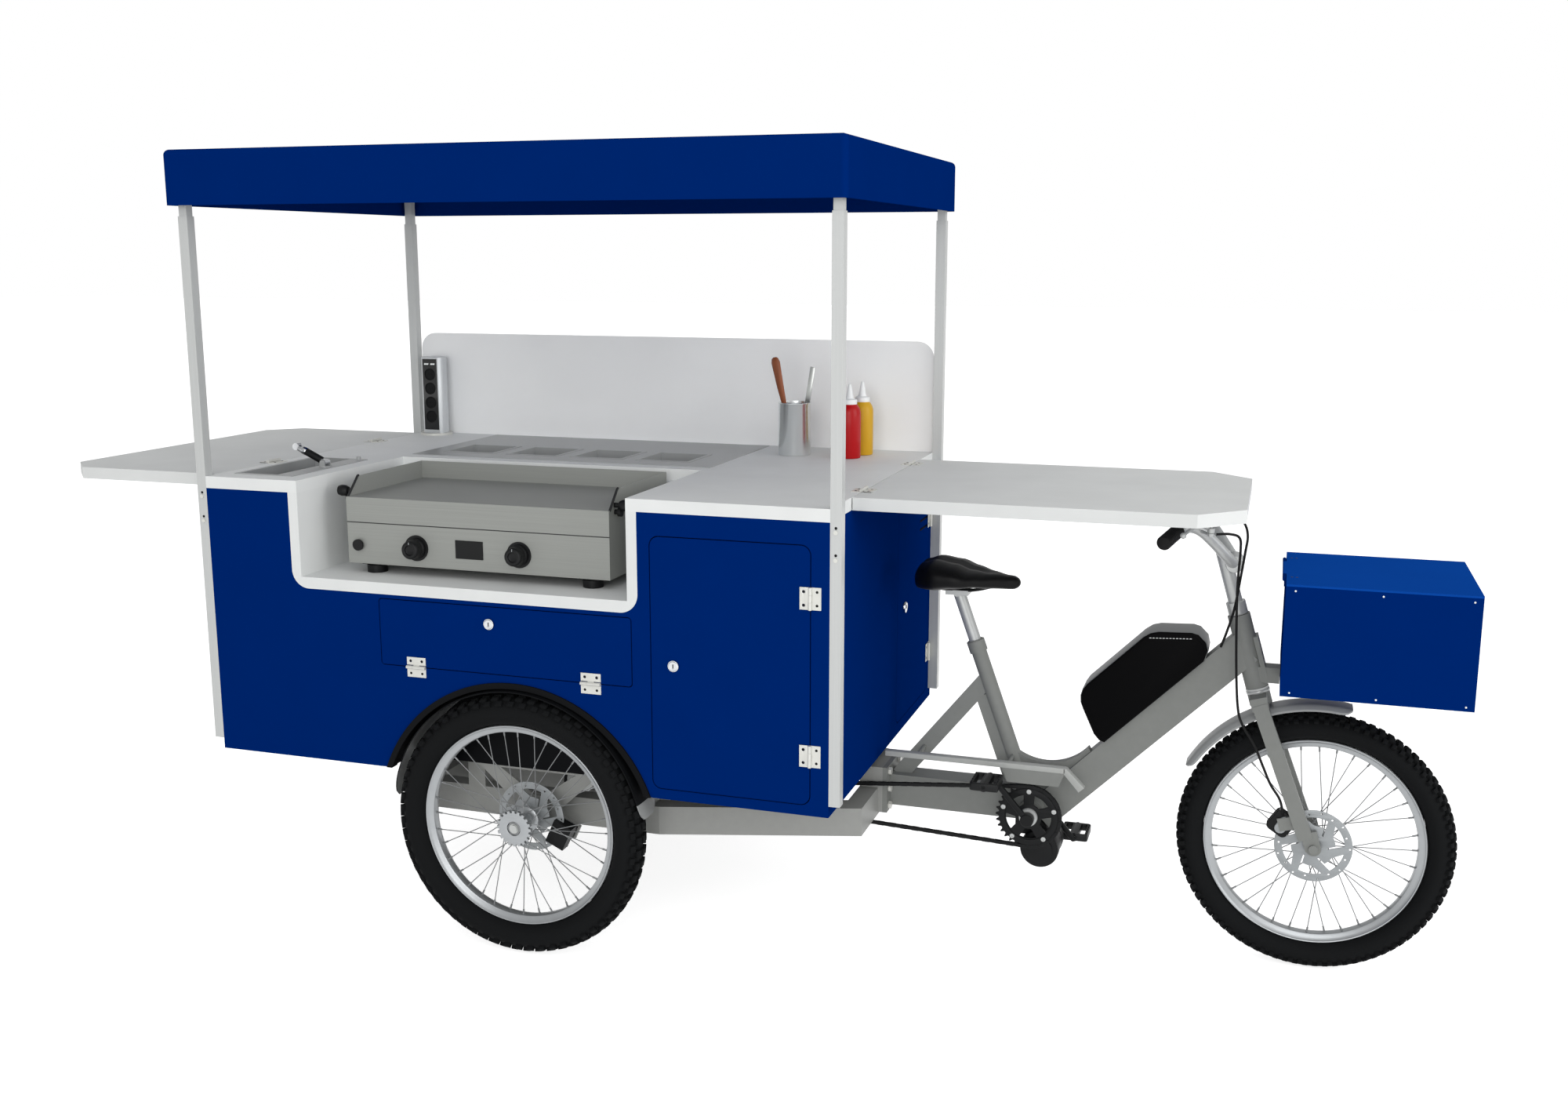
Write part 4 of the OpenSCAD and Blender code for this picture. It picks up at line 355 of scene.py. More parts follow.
class Shape:
    """A mesh under construction, in cart millimetres."""

    def __init__(self, *finishes: Finish) -> None:
        """Starts an empty shape.

        Args:
            finishes: the finishes its faces can take, the first one until use() names another.
        """
        self.bm = bmesh.new()
        self.finishes = finishes
        self.index = 0

    def use(self, finish: Finish) -> "Shape":
        """Gives the faces made from here on another finish."""
        self.index = self.finishes.index(finish)
        return self

    def add(self, mesh: bpy.types.Mesh, place: Matrix) -> None:
        """Takes in a loose mesh and drops it.

        Args:
            mesh: the mesh, in millimetres.
            place: where it goes.
        """
        mesh.transform(place)
        seen = len(self.bm.faces)
        self.bm.from_mesh(mesh)
        self.bm.faces.ensure_lookup_table()
        for face in self.bm.faces[seen:]:
            face.material_index = self.index
        bpy.data.meshes.remove(mesh)

    def loft(self, rings: Sequence[Sequence[Vector]], closed: bool = False, caps: bool = True) -> "Shape":
        """Skins a row of rings that have the same number of points.

        Args:
            rings: the rings in order.
            closed: whether the last ring joins the first.
            caps: whether the ends are filled.

        Returns:
            The shape itself.
        """
        verts = [[self.bm.verts.new(p) for p in ring] for ring in rings]
        count = len(verts[0])
        pairs = list(zip(verts, verts[1:])) + ([(verts[-1], verts[0])] if closed else [])
        faces = [self.bm.faces.new((a[j], a[(j + 1) % count], b[(j + 1) % count], b[j]))
                 for a, b in pairs for j in range(count)]
        if caps and not closed:
            faces += [self.bm.faces.new(verts[0][::-1]), self.bm.faces.new(verts[-1])]
        for face in faces:
            face.material_index = self.index
        return self

    def lathe(self, base: Point, axis: Point, profile: Outline, steps: int = 48,
              ring: bool = False) -> "Shape":
        """Turns a profile about an axis.

        Args:
            base: where the axis starts.
            axis: its direction.
            profile: radius and height along the axis, from point to point.
            steps: steps round the axis.
            ring: whether the profile is a closed loop.

        Returns:
            The shape itself.
        """
        turn = Vector(axis).to_track_quat("Z", "Y").to_matrix()
        start = Vector(base)
        rings = []
        for r, h in profile:
            r = max(r, 0.02)
            rings.append([start + turn @ Vector((r * math.cos(a), r * math.sin(a), h))
                          for a in (2 * math.pi * k / steps for k in range(steps))])
        return self.loft(rings, closed=ring)

    def tube(self, path: Sequence[Point], radius: float | Sequence[float], sides: int = 12,
             flat: float = 1.0, up: Point = (0.3, 0.9, 0.2)) -> "Shape":
        """Sweeps a round or oval section along a path.

        Args:
            path: the points of the path.
            radius: one radius, or one for each point.
            sides: points round the section.
            flat: the section's height as a share of its width.
            up: a direction the section's width stays square to.

        Returns:
            The shape itself.
        """
        points = [Vector(p) for p in path]
        last = len(points) - 1
        radii = [radius] * (last + 1) if isinstance(radius, (int, float)) else list(radius)
        rings = []
        for i, p in enumerate(points):
            along = (points[min(i + 1, last)] - points[max(i - 1, 0)]).normalized()
            u = along.cross(Vector(up)).normalized()
            v = along.cross(u)
            rings.append([p + radii[i] * (math.cos(a) * u + flat * math.sin(a) * v)
                          for a in (2 * math.pi * k / sides for k in range(sides))])
        return self.loft(rings)

    def plate(self, outlines: Sequence[Outline], place: Matrix, lo: float, hi: float, bevel: float = 0.6,
              steps: int = 1) -> "Shape":
        """A flat plate with holes and softened edges.

        Args:
            outlines: its outer outline, then its holes.
            place: the map from the outline's own axes.
            lo: where it starts along its own Z.
            hi: where it ends.
            bevel: radius of its edges.
            steps: extra steps of each edge.

        Returns:
            The shape itself.
        """
        curve = bpy.data.curves.new("plate", "CURVE")
        curve.dimensions, curve.fill_mode = "2D", "BOTH"
        curve.extrude = (hi - lo) / 2 - bevel
        curve.bevel_depth, curve.bevel_resolution, curve.offset = bevel, steps, -bevel
        for outline in outlines:
            spline = curve.splines.new("POLY")
            spline.points.add(len(outline) - 1)
            for point, (x, y) in zip(spline.points, outline):
                point.co = (x, y, 0.0, 1.0)
            spline.use_cyclic_u = True
        holder = bpy.data.objects.new("plate", curve)
        mesh = bpy.data.meshes.new_from_object(holder)
        bpy.data.objects.remove(holder)
        bpy.data.curves.remove(curve)
        self.add(mesh, place @ Matrix.Translation((0, 0, (lo + hi) / 2)))
        return self

    def box(self, lo: Point, hi: Point, bevel: float = 0.8, turn: Euler | None = None) -> "Shape":
        """A block with rounded edges.

        Args:
            lo: one corner.
            hi: the opposite corner.
            bevel: radius of its edges.
            turn: a turn about its middle.

        Returns:
            The shape itself.
        """
        a, b = Vector(lo), Vector(hi)
        middle, size = (a + b) / 2, b - a
        part = bmesh.new()
        bmesh.ops.create_cube(part, size=1.0, matrix=Matrix.Diagonal((*size, 1.0)))
        bmesh.ops.bevel(part, geom=list(part.edges), offset=bevel, segments=2, profile=0.5, affect="EDGES")
        mesh = bpy.data.meshes.new("block")
        part.to_mesh(mesh)
        part.free()
        spin = turn.to_matrix().to_4x4() if turn else Matrix.Identity(4)
        self.add(mesh, Matrix.Translation(middle) @ spin)
        return self

    def mirrored(self) -> "Shape":
        """Adds the shape's own mirror image on the cart's other side."""
        copy = bmesh.ops.duplicate(self.bm,
                                   geom=list(self.bm.verts) + list(self.bm.edges) + list(self.bm.faces))
        for item in copy["geom"]:
            if isinstance(item, bmesh.types.BMVert):
                item.co.y = -item.co.y
        return self

    def recolour(self, test: Callable[[bmesh.types.BMFace], bool], finish: Finish) -> "Shape":
        """Gives another finish to the faces that pass a test.

        Args:
            test: says which faces.
            finish: what they take.

        Returns:
            The shape itself.
        """
        self.bm.normal_update()
        for face in self.bm.faces:
            if test(face):
                face.material_index = self.finishes.index(finish)
        return self

    def mesh(self, name: str, sharp: float = 35.0) -> bpy.types.Mesh:
        """Closes the shape into a mesh, still in millimetres.

        Args:
            name: the mesh's name.
            sharp: the angle in degrees from which an edge shows as sharp.

        Returns:
            The mesh.
        """
        bmesh.ops.remove_doubles(self.bm, verts=self.bm.verts, dist=0.004)
        bmesh.ops.recalc_face_normals(self.bm, faces=self.bm.faces)
        for face in self.bm.faces:
            face.smooth = True
        out = bpy.data.meshes.new(name)
        self.bm.to_mesh(out)
        self.bm.free()
        for finish in self.finishes:
            out.materials.append(SHADERS.get(finish))
        out.set_sharp_from_angle(angle=math.radians(sharp))
        return out

    def piece(self, name: str, body: str, *nodes: str, sharp: float = 35.0) -> bpy.types.Object:
        """Places the shape in the scene, riding on a body.

        Args:
            name: the piece's name.
            body: the body it rides on.
            nodes: the CAD nodes it stands for.
            sharp: the angle in degrees from which an edge shows as sharp.

        Returns:
            The piece.
        """
        mesh = self.mesh(name, sharp)
        mesh.transform(Matrix.Translation((REAR_WALL, 0, 0)) @ Matrix.Scale(MM, 4))
        return settle(bpy.data.objects.new(name, mesh), body, self.finishes[0], *nodes)


def settle(piece: bpy.types.Object, body: str, finish: Finish, *nodes: str) -> bpy.types.Object:
    """Links a finished piece, and says what it rides on and stands for.

    Args:
        piece: the piece, in place.
        body: the body it rides on.
        finish: not used.
        nodes: the CAD nodes it stands for.

    Returns:
        The piece.
    """
    if piece.name not in bpy.context.scene.collection.objects:
        bpy.context.scene.collection.objects.link(piece)
    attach(piece, body)
    if nodes:
        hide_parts(*nodes)
    return piece


@dataclass
class Spot:
    """One place of a repeated part: where, which way and how large."""

    place: Point
    turn: Euler
    size: tuple[float, float, float] = (1.0, 1.0, 1.0)


class Repeat:
    """Sets one small part at many places with Geometry Nodes."""

    def __init__(self) -> None:
        """Builds the node tree and its named inputs."""
        tree = bpy.data.node_groups.new("repeat_part", "GeometryNodeTree")
        face = tree.interface
        self.inputs: dict[str, str] = {}
        for name, kind in (("Places", "Geometry"), ("Part", "Object"), ("Finish", "Material"),
                           ("Spin", "Float"), ("Seed", "Int")):
            socket = face.new_socket(name, in_out="INPUT", socket_type="NodeSocket" + kind)
            self.inputs[name] = socket.identifier
        face.new_socket("Parts", in_out="OUTPUT", socket_type="NodeSocketGeometry")
        new, link = tree.nodes.new, tree.links.new
        start, end = new("NodeGroupInput"), new("NodeGroupOutput")
        part, turn, size = (new(kind) for kind in (
            "GeometryNodeObjectInfo", "GeometryNodeInputNamedAttribute", "GeometryNodeInputNamedAttribute"))
        turn.data_type = size.data_type = "FLOAT_VECTOR"
        turn.inputs["Name"].default_value = "turn"
        size.inputs["Name"].default_value = "size"
        put, chance, spin = (new(kind) for kind in (
            "GeometryNodeInstanceOnPoints", "FunctionNodeRandomValue", "GeometryNodeRotateInstances"))
        axis, real, paint = (new(kind) for kind in (
            "ShaderNodeCombineXYZ", "GeometryNodeRealizeInstances", "GeometryNodeSetMaterial"))
        chance.data_type = "FLOAT"
        link(start.outputs["Part"], part.inputs["Object"])
        link(start.outputs["Places"], put.inputs["Points"])
        link(part.outputs["Geometry"], put.inputs["Instance"])
        link(turn.outputs["Attribute"], put.inputs["Rotation"])
        link(size.outputs["Attribute"], put.inputs["Scale"])
        link(start.outputs["Spin"], chance.inputs["Max"])
        link(start.outputs["Seed"], chance.inputs["Seed"])
        link(chance.outputs["Value"], axis.inputs["Z"])
        link(put.outputs["Instances"], spin.inputs["Instances"])
        link(axis.outputs["Vector"], spin.inputs["Rotation"])
        link(spin.outputs["Instances"], real.inputs["Geometry"])
        link(real.outputs["Geometry"], paint.inputs["Geometry"])
        link(start.outputs["Finish"], paint.inputs["Material"])
        link(paint.outputs["Geometry"], end.inputs["Parts"])
        self.tree = tree

    def set(self, name: str, body: str, part: Shape, spots: Iterable[Spot], spin: float = 0.0,
            nodes: Sequence[str] = (), sharp: float = 35.0) -> bpy.types.Object:
        """Sets a part at many places, as one plain mesh.

        Args:
            name: the piece's name.
            body: the body it rides on.
            part: the part at its own origin, with Z out of the surface.
            spots: where it goes.
            spin: the largest random turn about its own Z, in degrees.
            nodes: the CAD nodes it stands for.
            sharp: the angle in degrees from which an edge shows as sharp.

        Returns:
            The piece.
        """
        finish = part.finishes[0]
        small = part.mesh(name + "_part", sharp)
        small.transform(Matrix.Scale(MM, 4))
        single = bpy.data.objects.new(name + "_part", small)
        listed = list(spots)
        places = bpy.data.meshes.new(name)
        places.from_pydata([cart(s.place) for s in listed], [], [])
        for key, values in (("turn", [s.turn for s in listed]), ("size", [s.size for s in listed])):
            attribute = places.attributes.new(key, "FLOAT_VECTOR", "POINT")
            for item, value in zip(attribute.data, values):
                item.vector = tuple(value)
        piece = bpy.data.objects.new(name, places)
        bpy.context.scene.collection.objects.link(single)
        bpy.context.scene.collection.objects.link(piece)
        modifier = piece.modifiers.new("repeat", "NODES")
        modifier.node_group = self.tree
        modifier[self.inputs["Part"]] = single
        modifier[self.inputs["Finish"]] = SHADERS.get(finish)
        modifier[self.inputs["Spin"]] = math.radians(spin)
        modifier[self.inputs["Seed"]] = 7
        graph = bpy.context.evaluated_depsgraph_get()
        real = bpy.data.meshes.new_from_object(piece.evaluated_get(graph))
        piece.modifiers.clear()
        piece.data = real
        real.name = name
        bpy.data.meshes.remove(places)
        bpy.data.objects.remove(single)
        bpy.data.meshes.remove(small)
        return settle(piece, body, finish, *nodes)


REPEAT = Repeat()


@dataclass
class Studio:
    """Camera, floor and lights of the picture."""

    eye: Point = (2135.5, -3077.0, 1415.0)
    heading: float = 18.015
    pitch: float = -10.894
    roll: float = -0.02
    lens: float = 35.0
    sensor: float = 36.0
    aim: Point = (900.0, 0.0, 700.0)
    floor_half: float = 40.0
    world_level: float = 0.6
    key_power: float = 170.0
    front_power: float = 205.0
    fill_power: float = 125.0
    glow: float = 0.76

    def camera(self) -> None:
        """Sets the camera where the picture was taken from."""
        data = bpy.data.cameras.new("camera")
        data.lens, data.sensor_width = self.lens, self.sensor
        data.clip_end = 100.0
        camera = bpy.data.objects.new("camera", data)
        camera.location = cart(self.eye)
        camera.rotation_euler = Euler((math.radians(90 + self.pitch), math.radians(self.roll),
                                       math.radians(self.heading)))
        bpy.context.scene.collection.objects.link(camera)
        bpy.context.scene.camera = camera

    def floor(self) -> None:
        """A wide pale floor that keeps the shadow."""
        mesh = bpy.data.meshes.new("floor")
        half = self.floor_half
        corners = [(-half, -half, 0), (half, -half, 0), (half, half, 0), (-half, half, 0)]
        mesh.from_pydata(corners, [], [(0, 1, 2, 3)])
        pale = SHADERS.get(Finish("floor_pale", "frame_grey", (225, 225, 225), 0.9, bump=0.0, spread=0.0))
        tree = pale.node_tree
        shader, path = tree.nodes["Principled BSDF"], tree.nodes.new("ShaderNodeLightPath")
        shown, level = tree.nodes.new("ShaderNodeMath"), tree.nodes.new("ShaderNodeMath")
        shown.operation, level.operation = "MAXIMUM", "MULTIPLY"
        level.inputs[1].default_value = self.glow
        tree.links.new(path.outputs["Is Camera Ray"], shown.inputs[0])
        tree.links.new(path.outputs["Is Glossy Ray"], shown.inputs[1])
        tree.links.new(shown.outputs[0], level.inputs[0])
        tree.links.new(level.outputs[0], shader.inputs["Emission Strength"])
        shader.inputs["Emission Color"].default_value = (1.0, 1.0, 1.0, 1.0)
        mesh.materials.append(pale)
        floor = bpy.data.objects.new("floor", mesh)
        bpy.context.scene.collection.objects.link(floor)

    def light(self) -> None:
        """Soft studio light: a white room, two lamps on the camera's side and a fill ahead of the cart."""
        world = bpy.data.worlds.new("room")
        world.use_nodes = True
        tree = world.node_tree
        tree.nodes.clear()
        out, path = tree.nodes.new("ShaderNodeOutputWorld"), tree.nodes.new("ShaderNodeLightPath")
        lit, seen, mix = (tree.nodes.new(kind) for kind in (
            "ShaderNodeBackground", "ShaderNodeBackground", "ShaderNodeMixShader"))
        lit.inputs["Color"].default_value = (1.0, 1.0, 1.0, 1.0)
        lit.inputs["Strength"].default_value = self.world_level
        seen.inputs["Color"].default_value = (1.0, 1.0, 1.0, 1.0)
        seen.inputs["Strength"].default_value = 1.0
        tree.links.new(path.outputs["Is Camera Ray"], mix.inputs["Fac"])
        tree.links.new(lit.outputs[0], mix.inputs[1])
        tree.links.new(seen.outputs[0], mix.inputs[2])
        tree.links.new(mix.outputs[0], out.inputs["Surface"])
        bpy.context.scene.world = world
        for name, place, power, size in (("key", (4000, -8400, 5400), self.key_power, 8.0),
                                         ("front", (2500, -9000, 1900), self.front_power, 5.0),
                                         ("fill", (7000, -1200, 2600), self.fill_power, 4.0)):
            data = bpy.data.lights.new(name, "AREA")
            data.energy, data.size = power, size
            lamp = bpy.data.objects.new(name, data)
            lamp.location = cart(place)
            aim = cart(self.aim) - lamp.location
            lamp.rotation_euler = aim.to_track_quat("-Z", "Y").to_euler()
            bpy.context.scene.collection.objects.link(lamp)
        view = bpy.context.scene.view_settings
        view.view_transform = "Standard"

    def build(self) -> None:
        """Sets up the whole studio."""
        self.camera()
        self.floor()
        self.light()


@dataclass
class CarriedOver:
    """The CAD nodes, each with its finish. Pieces made later stand for some of them."""

    finishes: tuple[tuple[Finish, tuple[str, ...]], ...] = (
        (FRAME, ("chassis_frame",)),
        (BIKE, ("bike_frame", "fork")),
        (FLOOR, ("cabinet_floor",)),
        (LID_PAINTED_SHEEN, ("box_lid",)),
        (BLUE, ("side_panel_right", "side_panel_left", "end_panel_rear", "end_panel_front", "canopy",
                "front_box", "side_door", "drop_flap", "front_door")),
        (WORKTOP_PAINTED_LIGHT, ("worktop",)),
        (BOARD, ("rear_table", "front_table")),
        (BAY, ("griddle_bay",)),
        (ARCH, ("wheel_arches",)),
        (GUARD, ("rear_mudguards",)),
        (SCREEN, ("back_screen",)),
        (POST, ("post_sleeves", "inner_posts")),
        (PAN, ("food_pans", "sink_basin")),
        (STEEL, ("utensil_pot", "gear_hub", "axle_shaft")),
        (STEEL_DULL, ("griddle_body",)),
        (HINGE, ("fixed_hardware",)),
        (PLASTIC, ("griddle_fittings", "knob_left", "knob_right", "igniter_button", "pedal_right",
                   "pedal_left")),
        (GLOSS, ("battery", "motor_unit")),
        (BLACK_METAL, ("chains", "rear_calipers")),
        (CRANK, ("crankset",)),
        (CHROME, ("tap_spout", "side_door_lock", "flap_lock", "front_door_lock")),
        (TOWER, ("power_tower",)),
        (BAR, ("seat_post", "handlebar", "lever_right", "lever_left")),
        (RUBBER, ("grips", "control_cables")),
        (LEATHER, ("saddle",)),
        (RED, ("sauce_bottles",)),
        (TYRE, ("front_tyre", "right_tyre", "left_tyre")),
        (ALLOY, ("front_wheel", "right_wheel", "left_wheel")),
    )

    def dress(self) -> None:
        """Gives every node its finish."""
        for finish, nodes in self.finishes:
            for name in nodes:
                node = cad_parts[name]
                node.data.materials.clear()
                node.data.materials.append(SHADERS.get(finish))


@dataclass
class Tyre:
    """A knobbly tyre, with its axle along Y."""

    name: str
    body: str
    node: str
    centre: Point
    radius: float
    width: float
    rim: float = 212.4
    wall: float = 4.0
    knob_h: float = 7.0
    around: int = 62

    def section(self) -> tuple[float, float, float]:
        """Middle radius, half height and half width of the bare carcass."""
        half = self.width / 2
        return self.radius - half, half - self.knob_h, half - 1.0

    def build(self) -> None:
        """Makes the carcass and sets its rows of knobs."""
        mid, tall, wide = self.section()
        foot = math.degrees(math.acos((self.rim - mid) / tall))
        outer = [(mid + tall * math.cos(a), wide * math.sin(a))
                 for a in (math.radians(-foot + 2 * foot * i / 40) for i in range(41))]
        share = 1 - self.wall / tall
        inner = [(max(mid + (r - mid) * share, self.rim), h * share) for r, h in reversed(outer)]
        Shape(TYRE).lathe(self.centre, TO_LEFT, outer + inner, 120,
                          ring=True).piece(self.name, self.body, self.node, sharp=50)
        REPEAT.set(self.name + "_knobs", self.body, Shape(TYRE).box((-5, -5, -2), (5, 5, 5), 0.7),
                   self.spots())

    def spots(self) -> list[Spot]:
        """The places of the knobs.

        Returns:
            Five rows of knobs, each second row half a step on.
        """
        mid, tall, wide = self.section()
        middle = Vector(self.centre)
        rows = ((0, 0.55, 11, 0.0), (25, 0.55, 12, 0.0), (-25, 0.55, 12, 0.0), (48, 0.48, 10, 0.5),
                (-48, 0.48, 10, 0.5))
        pitch = 2 * math.pi * self.radius / self.around
        spots = []
        for lean, share, across, shift in rows:
            c, s = math.cos(math.radians(lean)), math.sin(math.radians(lean))
            for i in range(self.around):
                a = 2 * math.pi * (i + shift) / self.around
                out = Vector((math.cos(a), 0, math.sin(a)))
                along = Vector((-math.sin(a), 0, math.cos(a)))
                normal = (out * c / tall + Vector((0, s / wide, 0))).normalized()
                place = middle + out * (mid + tall * c) + Vector((0, wide * s, 0)) - normal * 0.3
                turn = Matrix((along, normal.cross(along), normal)).transposed().to_euler()
                spots.append(Spot(place, turn, (share * pitch / 10, across / 10, self.knob_h / 5)))
        return spots


@dataclass
class Wheel:
    """A spoked wheel with a brake disc, with its outer side along one direction of Y."""

    name: str
    body: str
    node: str
    centre: Point
    side: Side
    rear: bool
    rim: float = 212.0
    half: float = 17.0
    disc: float = 74.0
    spokes: int = 36

    def on(self, r: float, angle: float, h: float) -> Vector:
        """A point of the wheel: radius, angle in degrees and distance towards its outer side."""
        a = math.radians(angle)
        return Vector(self.centre) + Vector((r * math.cos(a), self.side.value * h, r * math.sin(a)))

    def build(self) -> None:
        """Makes rim, hub, disc and spokes."""
        axis = (0, self.side.value, 0)
        lip = [(self.rim, 14.2), (self.rim, 16.2), (self.rim - 1.2, self.half), (self.rim - 2.8, 16.6),
               (self.rim - 4.2, 14.8), (self.rim - 8, 12.6), (self.rim - 12, 11.2), (self.rim - 15, 9.6),
               (self.rim - 16.6, 6.0), (self.rim - 17, 2.0)]
        loop = lip[::-1] + [(self.rim - 6, 12.5), (self.rim - 9, 6.0)]
        loop += [(r, -h) for r, h in loop[::-1]]
        hub = Shape(ALLOY, DISC, SPOKE)
        hub.lathe(self.centre, axis, loop, 120, ring=True)
        if self.rear:
            self.rear_hub(hub, axis)
        else:
            self.front_hub(hub, axis)
        hub.piece(self.name, self.body, self.node)
        self.lace()

    def rear_hub(self, hub: Shape, axis: Point) -> None:
        """Adds a rear hub with its toothed cap and inner disc.

        Args:
            hub: the shape to add to.
            axis: the way to the wheel's outer side.
        """
        hub.lathe(self.centre, axis, [(10.4, -62), (16, -62), (17, -61), (17, -27), (26, -26), (27, -25),
                                      (27, -23), (26, -22), (15, -20), (14, 0), (15, 20), (26, 22),
                                      (27, 23), (27, 25), (26, 26), (10.4, 26)], 48, ring=True)
        teeth: Outline = []
        for i in range(20):
            teeth += arc(0, 0, 38, i * 18 - 4.6, i * 18 + 4.6, 2)
            teeth += arc(0, 0, 33.5, i * 18 + 5.8, i * 18 + 12.2, 2)
        place = Matrix.Translation(self.centre) @ self.facing()
        hub.plate([teeth, circle(0, 0, 15)], place, 25, 33, 0.7)
        hub.use(SPOKE).plate([circle(0, 0, 16, 6)], place, 24, 31.5, 0.7)
        hub.use(DISC)
        self.rotor(hub, -46, -44)

    def front_hub(self, hub: Shape, axis: Point) -> None:
        """Adds the front hub and its outer disc.

        Args:
            hub: the shape to add to.
            axis: the way to the wheel's outer side.
        """
        hub.use(SPOKE).lathe(self.centre, axis, [(5.3, -38), (9, -38), (10, -37), (12, -26), (23, -25),
                                                 (24, -24), (24, -21), (23, -20), (13, -17), (12, 0),
                                                 (13, 17), (23, 20), (24, 21), (24, 24), (20, 26), (18, 33),
                                                 (9, 36), (9, 38), (5.3, 38)], 48, ring=True)
        hub.use(DISC)
        self.rotor(hub, 33, 35)

    def facing(self) -> Matrix:
        """The map from a flat outline to the wheel's plane, with its own Z to the outer side."""
        return Matrix(((-self.side.value, 0, 0), (0, 0, self.side.value), (0, 1, 0))).to_4x4()

    def rotor(self, hub: Shape, lo: float, hi: float) -> None:
        """Adds a drilled brake disc.

        Args:
            hub: the shape to add to.
            lo: where it starts towards the wheel's outer side.
            hi: where it ends.
        """
        holes = [circle(0, 0, 12, 24)]
        for i in range(6):
            a = i * 60
            window = arc(0, 0, self.disc - 15, a + 5, a + 49, 8)
            window += arc(0, 0, 42, a + 30, a + 4, 5) + arc(0, 0, 27, a - 4, a - 10, 2)
            holes.append(window)
        for i in range(18):
            a = math.radians(i * 20)
            r = self.disc - (5, 9)[i % 2]
            holes.append(circle(r * math.cos(a), r * math.sin(a), 2.0, 10))
        place = Matrix.Translation(self.centre) @ self.facing()
        hub.plate([circle(0, 0, self.disc, 72)] + holes, place, lo, hi, 0.25)

    def lace(self) -> None:
        """Sets the crossed spokes and their nipples."""
        flange, lift = (23.0, 24.0) if self.rear else (21.0, 22.0)
        wires, nipples = [], []
        for i in range(self.spokes):
            rim_angle = i * 360 / self.spokes
            lead = 62 if (i // 2) % 2 else -62
            high = lift if i % 2 else -lift
            start = self.on(flange, rim_angle + lead, high)
            end = self.on(self.rim - 14, rim_angle, 3 if i % 2 else -3)
            along = end - start
            turn = facing(along)
            wires.append(Spot(start, turn, (1, 1, along.length / 100)))
            nipples.append(Spot(end - along.normalized() * 13, turn))
        wire = Shape(SPOKE).lathe(ORIGIN, UP, [(1.0, 0), (1.0, 50), (1.0, 100)], 8)
        REPEAT.set(self.name + "_spokes", self.body, wire, wires)
        nipple = Shape(SPOKE).lathe(ORIGIN, UP, [(1.3, 0), (1.9, 0.6), (1.9, 9), (2.4, 9.6), (2.4, 13)], 8)
        REPEAT.set(self.name + "_nipples", self.body, nipple, nipples)


@dataclass
class Saddle:
    """The padded saddle and its rails."""

    clamp: Point = (1520.2, 0.0, 725.1)
    length: float = 222.0
    behind: float = 93.0
    lift: float = 10.0
    half: float = 85.0
    slices: int = 40
    around: int = 40

    def width(self, t: float) -> float:
        """Half the width at a share of the length from the rear."""
        if t < 0.42:
            return self.half * math.sin(math.pi / 2 * min(1.0, t / 0.3 + 0.12)) ** 0.6
        return self.half * (0.17 + 0.83 * max(0.0, math.cos(math.pi / 2 * (t - 0.42) / 0.58)) ** 2.2)

    @staticmethod
    def heights(t: float) -> tuple[float, float]:
        """Underside and top at a share of the length from the rear."""
        marks = ((0, -4, 36), (0.1, -4, 53), (0.22, -4, 60), (0.4, 2, 54), (0.57, 7, 42), (0.73, 4, 36),
                 (0.9, 3, 31), (1, 4, 29))
        for (t0, low0, top0), (t1, low1, top1) in zip(marks, marks[1:]):
            if t <= t1:
                share = (t - t0) / (t1 - t0)
                share = share * share * (3 - 2 * share)
                return low0 + (low1 - low0) * share, top0 + (top1 - top0) * share
        return marks[-1][1], marks[-1][2]

    def build(self) -> None:
        """Makes the cover and the two rails."""
        x0, z0 = self.clamp[0] - self.behind, self.clamp[2] + self.lift
        rings = []
        for i in range(self.slices + 1):
            t = 0.5 - 0.5 * math.cos(math.pi * i / self.slices)
            near = min(1.0, min(t, 1 - t) / 0.07)
            ease = max(0.06, math.sqrt(1 - (1 - near) ** 2))
            low, top = self.heights(t)
            middle, rise, wide = (low + top) / 2, (top - low) / 2 * ease, self.width(t) * ease
            ring = []
            for k in range(self.around):
                a = 2 * math.pi * k / self.around
                c, s = math.cos(a), math.sin(a)
                y = wide * math.copysign(abs(c) ** 0.8, c)
                z = middle + rise * math.copysign(abs(s) ** 0.75, s)
                if s > 0.3 and t < 0.8:
                    z -= 6 * math.exp(-(y / 9) ** 2) * min(1.0, (0.8 - t) / 0.2)
                ring.append(Vector((x0 + t * self.length, y, z0 + z)))
            rings.append(ring)
        cover = Shape(LEATHER).loft(rings).piece("saddle_cover", "seat", "saddle", sharp=60)
        rail = smooth_path([(x0 + 22, -30, z0 + 12), (x0 + 50, -25, z0 + 1), (x0 + 80, -21, z0 - 2),
                            (x0 + 125, -20, z0 - 1), (x0 + 165, -14, z0 + 8), (x0 + 192, -8, z0 + 18)], 6)
        Shape(BLACK_METAL).tube(rail, 3.6, 10).mirrored().piece("saddle_rails", "seat")


